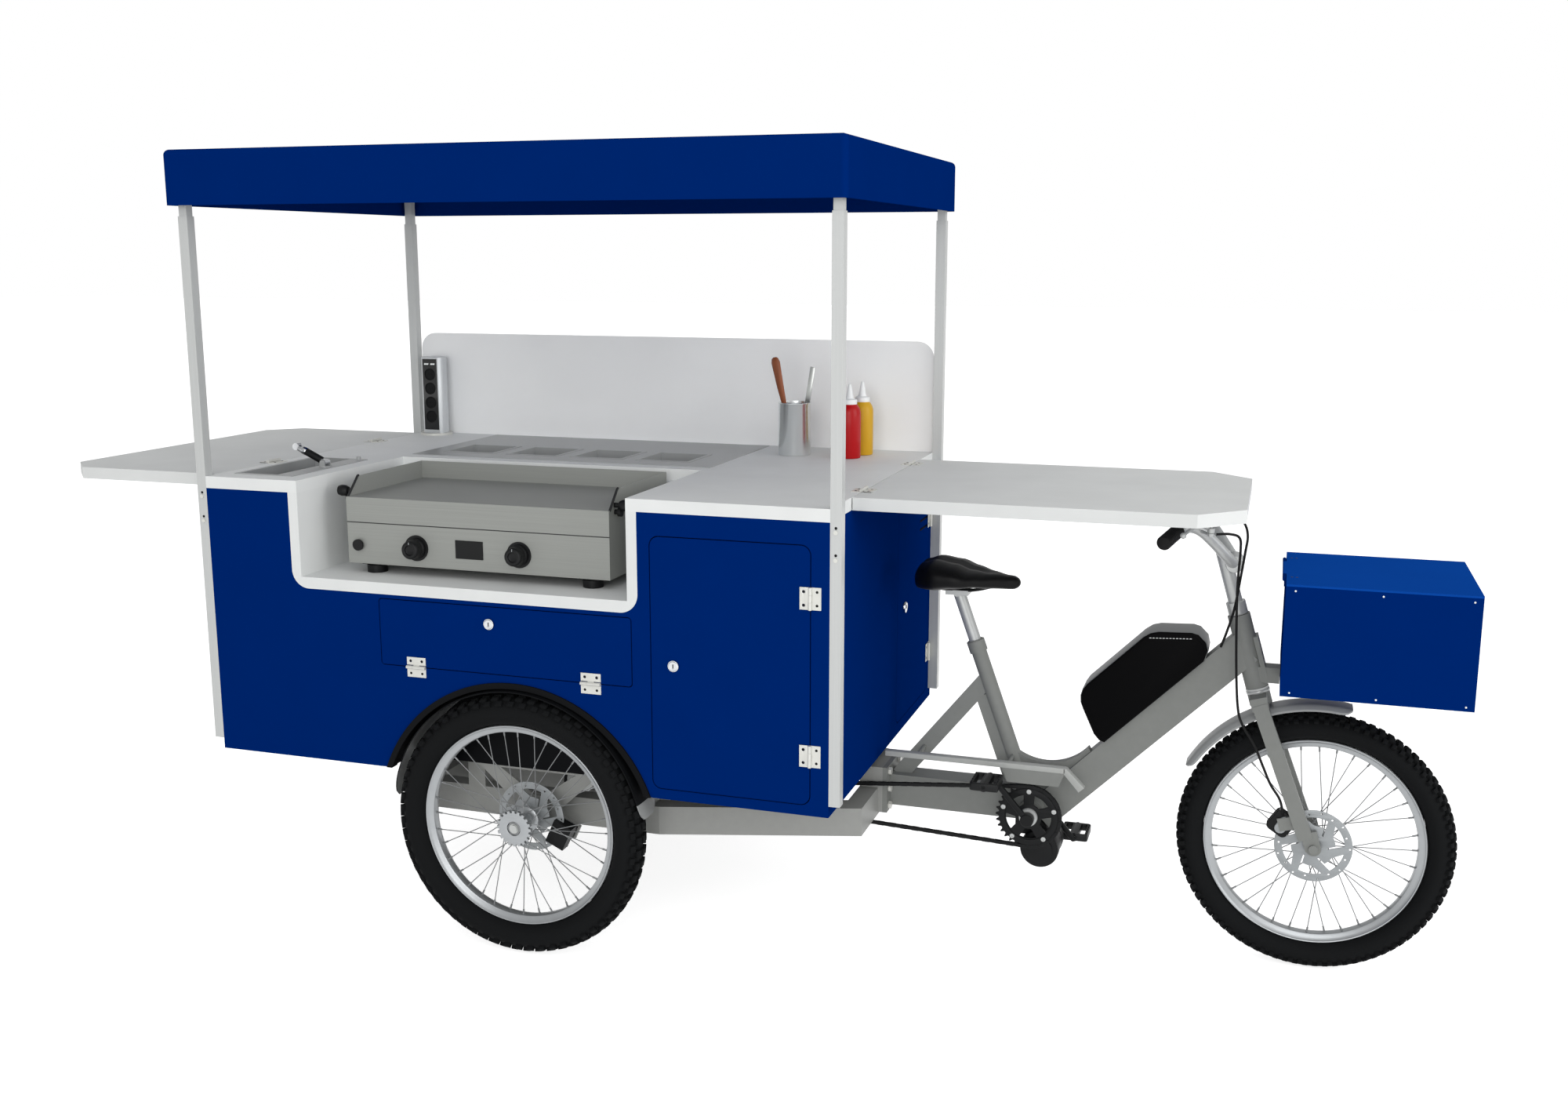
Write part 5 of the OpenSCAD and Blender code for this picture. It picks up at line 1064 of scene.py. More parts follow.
@dataclass
class Cables:
    """The brake cables, held by the steering."""

    radius: float = 2.5
    routes: tuple[tuple[Point, ...], ...] = (
        ((2036, -124, 897), (2060, -119, 898), (2078, -108, 890), (2081, -92, 862), (2079, -80, 800),
         (2080, -70, 735), (2085, -62, 625), (2092, -62, 546), (2102, -64, 512), (2128, -66, 470),
         (2146, -66, 430), (2162, -63, 394), (2180, -60, 366), (2187, -52, 342), (2189, -42, 326)),
        ((2036, 124, 897), (2060, 116, 894), (2082, 84, 886), (2091, 20, 872), (2089, -40, 850),
         (2083, -64, 800), (2075, -58, 740), (2063, -42, 690), (2053, -26, 655)),
    )

    def build(self) -> None:
        """Makes both cables."""
        cables = Shape(RUBBER)
        for route in self.routes:
            cables.tube(smooth_path(route, 8), self.radius, 10)
        cables.piece("brake_cables", "steering", "control_cables", sharp=80)


@dataclass
class Bars:
    """The handlebar with its grips and brake levers."""

    head: Point = (HEAD[0], 0.0, HEAD[1])
    tilt: float = HEAD_TILT
    foot: float = 76.0
    clamp: tuple[float, float] = (2070.0, 822.0)
    bend: tuple[Point, ...] = ((2070, 0, 822), (2064, -28, 828), (2032, -60, 868), (2006, -82, 895),
                               (1985, -94, 903), (1969, -108, 899), (1957, -140, 893), (1945, -186, 886.5))
    bar_r: float = 11.0
    grip: tuple[Point, Point] = ((1964.0, -114.0, 897.5), (1943.6, -192.0, 885.8))
    grip_r: float = 14.0
    perch: Point = (2003.0, -84.0, 896.0)
    pin: Point = (2026.0, -124.0, 905.0)
    lever: tuple[Point, ...] = ((2026, -124, 905), (2013, -128, 913), (1997, -140, 911), (1986, -165, 906),
                                (1979, -190, 902.5))

    def build(self) -> None:
        """Makes bar, grips and levers."""
        self.bar()
        self.grips()
        for body, side in (("lever_right", 1), ("lever_left", -1)):
            self.brake_lever(body, side)

    def bar(self) -> None:
        """The stem's collar, the clamp, the bent bar and the levers' perches."""
        lean = math.radians(self.tilt)
        up = (-math.sin(lean), 0, math.cos(lean))
        bar = Shape(BAR)
        bar.lathe(self.head, up, [(0, self.foot), (18.4, self.foot), (19, self.foot + 1),
                                  (19, self.foot + 25), (18, self.foot + 26), (14, self.foot + 26),
                                  (14, self.foot + 127), (13, self.foot + 128), (0, self.foot + 128)], 40)
        bar.lathe((self.clamp[0], 0, self.clamp[1]), TO_LEFT, [(0, -26), (16, -26), (17, -25), (17, 25),
                                                               (16, 26), (0, 26)], 40)
        x, y, z = self.pin
        px, py, pz = self.perch
        for s in (1, -1):
            way = [(a, s * b, c) for a, b, c in self.bend]
            bar.tube(smooth_path(way, 8), self.bar_r, 20)
            bar.tube([(px, py * s, pz), (x, y * s, z - 11)], 3.5, 12)
            bar.lathe((x, y * s, z), UP, [(0, -12), (6, -12), (6.5, -11.4), (6.5, -6.6), (6, -6), (2.5, -6),
                                          (2.5, 6), (0, 6)], 20)
        bar.piece("handlebar_tube", "steering", "handlebar")

    def grips(self) -> None:
        """The rubber grips, each with ribs round it and a round end."""
        grips = Shape(RUBBER)
        inner, outer = Vector(self.grip[0]), Vector(self.grip[1])
        length = (outer - inner).length
        profile = [(self.bar_r + 0.2, 0), (13.2, 0), (self.grip_r, 1)]
        for i in range(12):
            h = 6 + i * 6
            profile += [(self.grip_r, h), (13.3, h + 1.2), (13.3, h + 2.2), (self.grip_r, h + 3.4)]
        profile += [(self.grip_r, length - 4), (13, length - 1), (11, length), (0, length)]
        for s in (1, -1):
            start = (inner.x, inner.y * s, inner.z)
            way = (outer.x - inner.x, (outer.y - inner.y) * s, outer.z - inner.z)
            grips.lathe(start, way, profile, 28)
        grips.piece("bar_grips", "steering", "grips", sharp=50)

    def brake_lever(self, body: str, side: int) -> None:
        """One lever on its pin, bowed outward, with a ball at its end.

        Args:
            body: the body it rides on, which is also the node it stands for.
            side: 1 for the right lever, -1 for the left one.
        """
        lever = Shape(BAR)
        x, y, z = self.pin
        lever.lathe((x, y * side, z), UP, [(2.8, -5.4), (6.4, -5.4), (7, -4.8), (7, 3), (6.4, 3.5),
                                           (2.8, 3.5)], 24, ring=True)
        way = [(a, b * side, c) for a, b, c in self.lever]
        start = Vector(way[1]) - Vector(way[0])
        way[0] = tuple(Vector(way[0]) + start.normalized() * 5)
        lever.tube(smooth_path(way, 6), 3.0, 12)
        end = self.lever[-1]
        ball = [(5.8 * math.sin(a), -5.8 * math.cos(a))
                for a in (math.radians(15 * i) for i in range(13))]
        lever.lathe((end[0], end[1] * side, end[2]), UP, ball, 20)
        lever.piece(body + "_blade", body, body)


@dataclass
class Serving:
    """What stands on the worktop: bottles, the utensil pot, the power tower and the tap's grip."""

    top: float = WORKTOP_Z
    bottles: tuple[tuple[float, float, Finish], ...] = ((1205, 268, RED), (1216, 337, YELLOW))
    pot: tuple[float, float] = (1068.0, 287.0)
    tap: Point = (158.0, -240.0, 971.0)
    tap_rise: float = 25.0
    tower: tuple[float, float] = (62.0, 390.0)
    tower_r: float = 31.5
    tower_low: float = 760.0
    tower_high: float = 1160.0

    def build(self) -> None:
        """Makes all four."""
        self.bottle_pair()
        self.utensils()
        self.power()
        self.tap_grip()

    def tap_grip(self) -> None:
        """A black sleeve on the folding spout and a bright ring before its head."""
        x, y, z = self.tap
        rise = math.radians(self.tap_rise)
        way = Vector((-math.cos(rise), 0, math.sin(rise)))
        grip = Shape(PLASTIC, CHROME)
        grip.lathe((x, y, z), way, [(0, 8), (6.4, 8), (7.6, 9), (8, 11), (8, 48), (7.6, 50), (0, 50)], 24)
        grip.use(CHROME).lathe((x, y, z), way, [(0, 50), (8.2, 50), (8.6, 51), (8.6, 60), (8, 62), (8, 70),
                                                (0, 70)], 24)
        grip.piece("tap_grip", "tap")

    def bottle_pair(self) -> None:
        """Two squeeze bottles with round shoulders and nozzles."""
        pair = Shape(RED, YELLOW, NOZZLE)
        for x, y, finish in self.bottles:
            base = (x, y, self.top)
            pair.use(finish).lathe(base, UP, [(0, 0), (22, 0), (25, 1.2), (26, 4), (26, 98), (25.5, 106),
                                              (23.4, 113), (20, 119), (16.8, 122.5), (16, 124),
                                              (0, 124)], 40)
            pair.use(NOZZLE).lathe(base, UP, [(0, 123), (16.6, 123), (17, 124.5), (17, 132), (15.6, 134),
                                              (10, 136), (8.4, 140), (3.8, 166), (2.8, 169), (0, 170)], 32)
        pair.piece("squeeze_bottles", "cart", "sauce_bottles")

    def utensils(self) -> None:
        """A steel pot with a rolled rim, a wooden handle and a steel blade in it."""
        x, y = self.pot
        z = self.top
        pot = Shape(STEEL_BRIGHT, WOOD, STEEL)
        pot.lathe((x, y, z), UP, [(0, 0), (35.5, 0), (37, 1), (37.4, 3), (37.4, 118), (38.2, 119.4),
                                  (38.2, 121.2), (37.4, 122), (36.3, 121.5), (36, 119), (36, 3),
                                  (0, 2)], 56)
        pot.use(STEEL).tube([(x + 2, y - 6, z + 8), (x - 25, y - 2, z + 118)], 2.5, 10)
        pot.use(WOOD).tube([(x - 22, y - 2.5, z + 106), (x - 24, y - 2, z + 112), (x - 36, y, z + 160),
                            (x - 47, y + 1, z + 212), (x - 49, y + 1, z + 221), (x - 49.6, y + 1, z + 224)],
                           [4, 6.5, 9.5, 12, 9, 4], 16, 0.5)
        pot.use(STEEL).tube([(x + 6, y + 8, z + 8), (x + 28, y + 4, z + 124)], 2.5, 10)
        pot.box((x + 29, y + 3, z + 112), (x + 41, y + 5, z + 204), 0.6, Euler((0, math.radians(9), 0)))
        pot.piece("pot_and_tools", "cart", "utensil_pot")

    def power(self) -> None:
        """A tower with a flat black face, round sockets and charging slots."""
        x, y = self.tower
        half = 46
        outline = arc(0, 0, self.tower_r, -90 + half, 270 - half, 48)
        flat = y - self.tower_r * math.cos(math.radians(half))
        tower = Shape(TOWER, GLOSS, STEEL_BRIGHT)
        tower.plate([outline], Matrix.Translation((x, y, 0)), self.tower_low, self.tower_high, 1.5, 2)
        tower.use(GLOSS).box((x - 20.5, flat - 1.2, self.top + 14),
                             (x + 20.5, flat + 1, self.tower_high - 5), 0.8)
        tower.use(STEEL_BRIGHT)
        for dx in (-9, 9):
            tower.box((x + dx - 6, flat - 1.8, self.tower_high - 20),
                      (x + dx + 6, flat, self.tower_high - 15.5), 0.5)
        tower.piece("tower_body", "power_tower", "power_tower")
        socket = Shape(BLACK_METAL).lathe(ORIGIN, UP, [(15, -0.5), (15, 1.4), (14.2, 2), (13.2, 1.6),
                                                       (12.8, 0.4), (0, 0.4)], 32)
        socket.lathe((-4, 0, 0), UP, [(0, 1), (2, 1), (2.2, 0.2)], 10)
        socket.lathe((4, 0, 0), UP, [(0, 1), (2, 1), (2.2, 0.2)], 10)
        spots = [Spot((x, flat - 1.1, self.tower_high - 44 - 36 * i), facing(TO_RIGHT)) for i in range(4)]
        REPEAT.set("tower_sockets", "power_tower", socket, spots)


def capsule(ax: float, ay: float, ra: float, bx: float, by: float, rb: float) -> Outline:
    """A tapered bar with round ends.

    Args:
        ax: first coordinate of one end's centre.
        ay: its second coordinate.
        ra: that end's radius.
        bx: first coordinate of the other end's centre.
        by: its second coordinate.
        rb: that end's radius.

    Returns:
        The outline.
    """
    a = math.degrees(math.atan2(by - ay, bx - ax))
    return arc(ax, ay, ra, a + 90, a + 270, 10) + arc(bx, by, rb, a - 90, a + 90, 10)


@dataclass
class Drive:
    """Cranks, chainring, pedals, chains, the bar over the chain and the motor."""

    hub: tuple[float, float] = CRANK_AXLE
    gear: tuple[float, float] = (1200.0, 263.0)
    axle: tuple[float, float] = REAR_AXLE
    crank: float = 118.0
    angle: float = 131.0
    ring: float = 65.0
    gear_in: float = 32.5
    gear_out: float = 20.0
    wheel_ring: float = 36.0
    teeth: int = 32
    chain_y: float = 72.0
    rear_chain_y: float = 150.0
    pitch: float = 12.7
    pedals: tuple[tuple[str, int, float], ...] = (("pedal_right", 1, 104.0), ("pedal_left", -1, -140.0))
    strip_rear: float = 1386.0
    strip_rise: float = 102.5
    strip_reach: float = 72.0
    strip_tall: float = 11.0
    strip_half: float = 8.6

    def end(self, sign: int) -> tuple[float, float]:
        """Where a crank ends, measured from the hub."""
        a = math.radians(self.angle)
        return sign * self.crank * math.cos(a), sign * self.crank * math.sin(a)

    def build(self) -> None:
        """Makes every piece."""
        self.cranks()
        for name, sign, inner in self.pedals:
            self.pedal(name, sign, inner)
        links = [(self.loop(self.gear, self.gear_in, self.hub, self.ring), self.chain_y),
                 (self.loop(self.axle, self.wheel_ring, self.gear, self.gear_out), self.rear_chain_y)]
        self.chain([spot for path, y in links for spot in self.links(path, y)])
        self.motor()
        self.guard_strip()

    def guard_strip(self) -> None:
        """A pale bar over the upper run of the chain, bent down at its front end."""
        strip = Shape(GUARD_BAR)
        near, far = self.chain_y + self.strip_half, self.chain_y - self.strip_half
        low, bend = self.hub[1] + self.strip_rise, self.hub[0] + self.strip_reach
        high = low + self.strip_tall
        strip.box((self.strip_rear, -near, low), (bend, -far, high), 0.8)
        tip = [(bend - 3, low), (bend - 3, high), (bend + 3.4, low + 10.4), (bend + 40.2, low - 26.4),
               (bend + 29, low - 36.6)]
        strip.plate([tip], ACROSS_Y, far, near, 0.8)
        strip.piece("chain_guard_bar", "cart")

    def cranks(self) -> None:
        """Chainring, spider, both arms, spindle and pedal pins."""
        place = Matrix.Translation((self.hub[0], 0, self.hub[1])) @ ACROSS_Y
        step = 360 / self.teeth
        edge: Outline = []
        for i in range(self.teeth):
            a = i * step
            edge += [p for r, d in ((61.6, -0.5), (62.4, -0.3), (68.4, -0.07), (68.4, 0.07), (62.4, 0.3))
                     for p in arc(0, 0, r, a + d * step, a + d * step, 1)[:1]]
        windows = []
        for i in range(5):
            a = 54 + 72 * i
            windows.append(arc(0, 0, 47, a - 22, a + 22, 8) + arc(0, 0, 27, a + 14, a - 14, 5))
        bar = Shape(CRANK, BAR)
        bar.plate([edge] + windows, place, self.chain_y - 2, self.chain_y + 2, 0.5)
        bar.plate([circle(0, 0, 61, 72), circle(0, 0, 49, 72)], place, self.chain_y + 1, self.chain_y + 4.5,
                  0.8)
        bar.plate([capsule(0, 0, 6, *self.end(1), 5.4)], place, 91, 100, 2.0, 2)
        bar.plate([capsule(0, 0, 6, *self.end(-1), 5.4)], place, -64, -55, 2.0, 2)
        middle = (self.hub[0], 0, self.hub[1])
        bar.lathe(middle, TO_RIGHT, [(0, -64), (13, -64), (14, -62), (14, -52), (9, -51), (9, 66),
                                     (0, 66)], 32)
        bar.use(BAR).lathe(middle, TO_RIGHT, [(0, 66), (18, 67), (19, 70), (19, 80), (18, 82), (0, 82)], 32)
        bar.use(CRANK).lathe(middle, TO_RIGHT, [(0, 82), (12.6, 82), (13.6, 84), (13.6, 100), (12, 101.2),
                                                (0, 101.2)], 32)
        bar.use(BAR)
        for sign, lo, hi in ((1, 90, 176), (-1, -140, -60)):
            x, z = self.end(sign)
            bar.lathe((self.hub[0] + x, 0, self.hub[1] + z), TO_RIGHT, [(0, lo), (4, lo), (4, hi), (0, hi)],
                      16)
        bar.piece("cranks_and_ring", "crankset", "crankset")
        bolt = Shape(BAR).lathe(ORIGIN, UP, [(0, 1.2), (2.2, 1.2), (2.4, 2.2), (4.6, 2), (5.2, 1),
                                             (5.2, -1)], 16)
        bolts = []
        for i in range(5):
            x, z = arc(*self.hub, 55, 18 + 72 * i, 0, 1)[0]
            bolts.append(Spot((x, -self.chain_y - 4, z), facing(TO_RIGHT)))
        REPEAT.set("ring_bolts", "crankset", bolt, bolts)

    def pedal(self, name: str, sign: int, inner: float) -> None:
        """A cage pedal with two windows.

        Args:
            name: the pedal's body, node and piece.
            sign: which crank end carries it.
            inner: where it starts towards the right side.
        """
        x, z = self.end(sign)
        place = Matrix.Translation((self.hub[0] + x, -inner - 36, self.hub[1] + z))
        cage = Shape(PLASTIC)
        windows = [rounded(s * 15.5 - 6.5, -29, s * 15.5 + 6.5, 29, 3, 3) for s in (-1, 1)]
        cage.plate([rounded(-29, -36, 29, 36, 7, 4)] + windows, place, -8, 8, 1.6, 1)
        cage.lathe((self.hub[0] + x, 0, self.hub[1] + z), TO_RIGHT,
                   [(4.2, inner - 2), (8, inner - 2), (9.4, inner + 3), (9.4, inner + 71),
                    (4.2, inner + 71)], 20, ring=True)
        cage.piece(name + "_cage", name, name)
        stud = Shape(PLASTIC).lathe(ORIGIN, UP, [(0, 2.6), (1.2, 2.6), (1.6, 2), (2, -0.5)], 8)
        spots = [Spot((self.hub[0] + x + dx, -inner - 10 - 13 * i, self.hub[1] + z + s * 7.8),
                      facing((0, 0, s))) for dx in (-25.5, 25.5) for i in range(5) for s in (-1, 1)]
        REPEAT.set(name + "_studs", name, stud, spots)

    def loop(self, a: tuple[float, float], ra: float, b: tuple[float, float], rb: float) -> list[Vector]:
        """A chain's closed line round two wheels, even steps apart.

        Args:
            a: the rear wheel's centre.
            ra: its pitch radius.
            b: the front wheel's centre.
            rb: its pitch radius.

        Returns:
            The points, in X and Z.
        """
        along = math.degrees(math.atan2(b[1] - a[1], b[0] - a[0]))
        lean = math.degrees(math.acos((ra - rb) / math.dist(a, b)))
        line = arc(*b, rb, along + lean, along - lean, 40)
        line += arc(*a, ra, along - lean, along + lean - 360, 40)
        points = [Vector(p) for p in line]
        points.append(points[0])
        reach = [0.0]
        for p, q in zip(points, points[1:]):
            reach.append(reach[-1] + (q - p).length)
        count = 2 * round(reach[-1] / self.pitch / 2)
        out, k = [], 0
        for i in range(count):
            want = reach[-1] * i / count
            while reach[k + 1] < want:
                k += 1
            share = (want - reach[k]) / (reach[k + 1] - reach[k])
            out.append(points[k].lerp(points[k + 1], share))
        return out

    @staticmethod
    def links(path: Sequence[Vector], y: float) -> list[Spot]:
        """The places of a chain's links, each second one narrower.

        Args:
            path: the pins in order.
            y: the chain's distance to the right.

        Returns:
            One place for each link.
        """
        spots = []
        for i, p in enumerate(path):
            q = path[(i + 1) % len(path)]
            middle, along = (p + q) / 2, (q - p).normalized()
            x_axis, z_axis = Vector((along.x, 0, along.y)), Vector(TO_RIGHT)
            turn = Matrix((x_axis, z_axis.cross(x_axis), z_axis)).transposed().to_euler()
            spots.append(Spot((middle.x, -y, middle.y), turn, (1, 1, 1 if i % 2 else 0.72)))
        return spots

    def chain(self, spots: Iterable[Spot]) -> None:
        """Sets the links of both chains.

        Args:
            spots: where they go.
        """
        half = self.pitch / 2
        link = Shape(BLACK_METAL)
        side = rounded(-half - 3.6, -3.7, half + 3.6, 3.7, 3.6, 3)
        for lo, hi in ((-4, -2.8), (2.8, 4)):
            link.plate([side], FLAT, lo, hi, 0.3, 0)
        link.lathe((half, 0, -3), UP, [(0, 0), (3.4, 0), (3.4, 6), (0, 6)], 10)
        REPEAT.set("chain_links", "cart", link, spots, nodes=("chains",))

    def motor(self) -> None:
        """The motor's drum below the cranks, with its neck and mounting block."""
        x, z = self.hub[0] + 20, self.hub[1] - 80
        motor = Shape(BLACK_METAL)
        motor.lathe((x, 0, z), TO_LEFT, [(0, -50), (26, -50), (28, -49), (28, -46.5), (36, -46),
                                         (39, -44.5), (40, -42), (40, -20), (39, -19), (39, 19), (40, 20),
                                         (40, 42), (39, 45), (36, 46), (28, 46.5), (28, 48), (0, 48)], 64)
        neck = [(self.hub[0] - 8, z), (x + 26, z), (self.hub[0] + 32, self.hub[1] - 41),
                (self.hub[0] + 4, self.hub[1] - 14), (self.hub[0] - 8, self.hub[1] - 14)]
        motor.plate([neck], ACROSS_Y, -18, 18, 1.5, 1)
        motor.box((self.hub[0] - 34, -30, self.hub[1] - 56), (self.hub[0] + 6, 30, self.hub[1] - 18), 3)
        motor.piece("motor_drum", "cart", "motor_unit")


@dataclass
class Battery:
    """The battery on the down tube."""

    foot: tuple[float, float] = (CRANK_AXLE[0], 247.0)
    lean: float = 44.89
    base: float = 33.0
    half: float = 40.0
    middle: tuple[float, float] = (382.0, 56.0)
    panel_share: float = 0.945
    seam: tuple[Point, Point] = ((456.0, 104.0), (514.0, 52.0))
    stitches: int = 13
    outline: tuple[tuple[float, float], ...] = ((237, 0), (232, 11), (233, 28), (252, 80), (258, 94),
                                                (268, 105), (280, 112), (294, 115), (446, 115), (463, 112),
                                                (477, 104), (525, 60), (532, 48), (532, 26), (523, 11),
                                                (502, 0))

    def build(self) -> None:
        """Makes the shell, its black side plates and a stitched line on each."""
        place = (Matrix.Translation((self.foot[0], 0, self.foot[1]))
                 @ Matrix.Rotation(math.radians(-self.lean), 4, "Y") @ ACROSS_Y)
        points = [(a, u + self.base) for a, u in self.outline]
        shell = Shape(BATTERY_SHELL, BATTERY_SIDE)
        shell.plate([points], place, -self.half, self.half, 5, 3)
        middle = Vector((self.middle[0], self.base + self.middle[1]))
        panel = [tuple(middle + (Vector(p) - middle) * self.panel_share) for p in points]
        shell.use(BATTERY_SIDE).plate([panel], place, -self.half - 1, self.half + 1, 1.5, 1)
        shell.recolour(lambda face: abs(face.normal.y) > 0.7, BATTERY_SIDE)
        shell.piece("battery_case", "cart", "battery")
        dash = Shape(NOZZLE).box((-2, -0.6, -0.4), (2, 0.6, 0.4), 0.2)
        start, end = (Vector((a, self.base + u, 0)) for a, u in self.seam)
        turned = place.to_3x3()
        along, out = (turned @ (end - start)).normalized(), turned @ Vector((0, 0, 1))
        turn = Matrix((along, out.cross(along), out)).transposed().to_euler()
        last = self.stitches - 1
        spots = [Spot(place @ (start.lerp(end, i / last) + Vector((0, 0, s * (self.half + 1)))), turn)
                 for i in range(self.stitches) for s in (-1, 1)]
        REPEAT.set("battery_stitches", "cart", dash, spots)


@dataclass
class GriddleTrim:
    """Knobs, handles, edging and the front seam of the griddle."""

    x0: float = 290.0
    x1: float = 890.0
    front: float = -364.0
    top: float = 920.0
    guard: float = 958.0
    seam: float = 867.0
    knob_z: float = 820.0
    knobs: tuple[tuple[str, float], ...] = (("knob_left", 454.0), ("knob_right", 690.0))

    def build(self) -> None:
        """Makes edging, handles and both knobs."""
        trim = Shape(EDGE_RUBBER)
        trim.box((self.x0 - 0.4, self.front - 0.5, self.seam - 1),
                 (self.x1 + 0.4, self.front + 1, self.seam + 1), 0.3)
        for x in (self.x0 + 1, self.x1 - 1):
            trim.tube([(x, self.front + 6, self.top - 1), (x, self.front + 8, self.top + 1),
                       (x, self.front + 45, self.guard), (x, self.front + 48, self.guard + 0.6)],
                      2.6, 10, up=FORWARD)
        trim.piece("griddle_edging", "cart")
        handles = Shape(PLASTIC)
        for x, way in ((self.x0, -1), (self.x1, 1)):
            handles.lathe((x, self.front + 28, self.top + 8), (way, 0, 0),
                          [(0, -1), (5, -1), (5, 10), (8.6, 12), (11.4, 19), (12, 27), (10.2, 33),
                           (6, 35.6), (0, 36)], 28)
        handles.piece("griddle_handles", "cart")
        for name, x in self.knobs:
            base = (x, self.front - 3.3, self.knob_z)
            knob = Shape(PLASTIC, DISC)
            knob.lathe(base, TO_RIGHT, [(0, 24), (8.4, 24), (9.6, 24.6), (10.4, 27.2), (11.6, 28),
                                        (14.6, 28), (16.8, 27.2), (18.4, 25.4), (19, 23), (20, 8),
                                        (21.4, 6.6), (22, 5), (22, 0.8), (21.2, 0), (0, 0)], 40)
            knob.use(DISC).box((x - 0.7, base[1] - 28.4, self.knob_z + 12),
                               (x + 0.7, base[1] - 26, self.knob_z + 17), 0.2)
            knob.piece(name + "_cap", name, name)


@dataclass
class RearGuards:
    """The curved mudguards over both rear wheels, each on two stays."""

    centre: tuple[float, float] = (704.5, 275.0)
    radius: float = 281.0
    sheet: float = 2.5
    outer: float = 448.0
    inner: float = 364.0
    first: float = 8.0
    last: float = 174.0
    steps: int = 72

    def build(self) -> None:
        """Makes both guards as one piece."""
        guard = Shape(GUARD, ARCH)
        x, z = self.centre
        middle, half = (self.outer + self.inner) / 2, (self.outer - self.inner) / 2
        rings = []
        for i in range(self.steps + 1):
            a = math.radians(self.first + (self.last - self.first) * i / self.steps)
            out = Vector((math.cos(a), 0, math.sin(a)))
            near = min(i, self.steps - i) / 5
            wide = half * (0.55 + 0.45 * math.sqrt(1 - (1 - near) ** 2)) if near < 1 else half
            section = [(k / 4 - 1, 0.0) for k in range(9)] + [(1 - k / 4, 1.0) for k in range(9)]
            rings.append([Vector((x, -middle - u * wide, z))
                          + out * (self.radius - 2 * u * u + self.sheet * v) for u, v in section])
        guard.loft(rings)
        for a in (60, 120):
            px, pz = arc(x, z, self.radius, a, 0, 1)[0]
            guard.tube([(px, -355, pz + 1.2), (px, -self.inner - 4, pz + 1.2)], 3, 12)

        def painted_shade_band(face: bmesh.types.BMFace) -> bool:
            """Whether a face takes the painted shade: the black band that stands in for the shade inside
            the arch, on all but the front flap and the rear lining.
            """
            reach = face.calc_center_median() - Vector((x, 0, z))
            angle = math.degrees(math.atan2(reach.z, reach.x))
            return angle > 16 if reach.dot(face.normal) > 0 else angle < 112

        # Painted shade: the arch black on this band stands in for the shade between the guard and the arch
        # liner.
        guard.recolour(painted_shade_band, ARCH)
        guard.mirrored().piece("rear_guards", "cart", "rear_mudguards")


@dataclass
class ForkTrim:
    """The front mudguard, the front brake caliper and the headset."""

    axle: tuple[float, float] = FRONT_AXLE
    radius: float = 284.0
    sheet: float = 4.0
    half: float = 32.0
    flat: float = 21.2
    drop: float = 9.0
    first: float = 78.6
    last: float = 151.4
    steps: int = 48
    head: tuple[float, float] = HEAD
    tilt: float = HEAD_TILT
    head_low: float = 86.4

    def build(self) -> None:
        """Makes all three."""
        self.guard()
        self.caliper()
        self.headset()

    def guard(self) -> None:
        """A crowned guard with round ends."""
        x, z = self.axle
        rings = []
        across = [-1, -0.96, -0.9, -0.82, -0.73, -0.4, 0, 0.4, 0.73, 0.82, 0.9, 0.96, 1]
        section = [(u, 0.0) for u in across] + [(u, 1.0) for u in reversed(across)]
        for i in range(self.steps + 1):
            a = math.radians(self.first + (self.last - self.first) * i / self.steps)
            out = Vector((math.cos(a), 0, math.sin(a)))
            near = min(1.0, min(i, self.steps - i) / 3)
            wide = self.half * (0.74 + 0.26 * math.sqrt(1 - (1 - near) ** 2))
            ring = []
            for u, v in section:
                over = max(0.0, abs(u * wide) - self.flat) / (self.half - self.flat)
                ring.append(Vector((x, -u * wide, z))
                            + out * (self.radius - 0.4 - self.drop * over ** 1.6 + self.sheet * v))
            rings.append(ring)
        Shape(GUARD).loft(rings).piece("front_guard", "steering")

    def caliper(self) -> None:
        """A rounded black caliper body with a grey piston cap."""
        x, z = self.axle
        turn = Matrix.Translation((x, 0, z)) @ Matrix.Rotation(math.radians(-130 - self.tilt), 4, "Y")
        body = Shape(BLACK_METAL, DISC)
        outline = arc(87, 14, 10, 0, 90, 6) + arc(62, 14, 10, 90, 180, 6)
        outline += arc(62, -14, 10, 180, 270, 6) + arc(87, -14, 10, 270, 360, 6)
        bridge = [(78.5, -20), (93, -20), (93, 20), (78.5, 20)]
        for lo, hi in ((24.4, 31.2), (36.8, 42.4)):
            body.plate([outline], turn @ ACROSS_Y, lo, hi, 2, 2)
        body.plate([bridge], turn @ ACROSS_Y, 30, 38, 0.5)
        cap = arc(72, 8, 11, 0, 180, 10) + arc(72, -8, 11, 180, 360, 10)
        body.use(DISC).plate([cap], turn @ ACROSS_Y, 42, 46, 1.5, 2)
        body.piece("front_caliper_cover", "steering")

    def headset(self) -> None:
        """Bright rings at the lower end of the head tube."""
        lean = math.radians(self.tilt)
        axis = Vector((-math.sin(lean), 0, math.cos(lean)))
        rings = Shape(BAR)
        low = Vector((self.head[0], 0, self.head[1])) - axis * self.head_low
        rings.lathe(low, axis, [(14, 0), (22.6, 0), (23.2, 1), (23.2, 5), (22.6, 6), (21.6, 6.4), (22.6, 7),
                                (22.6, 10.4), (21.6, 11), (14, 11)], 40)
        rings.piece("headset_rings", "steering")


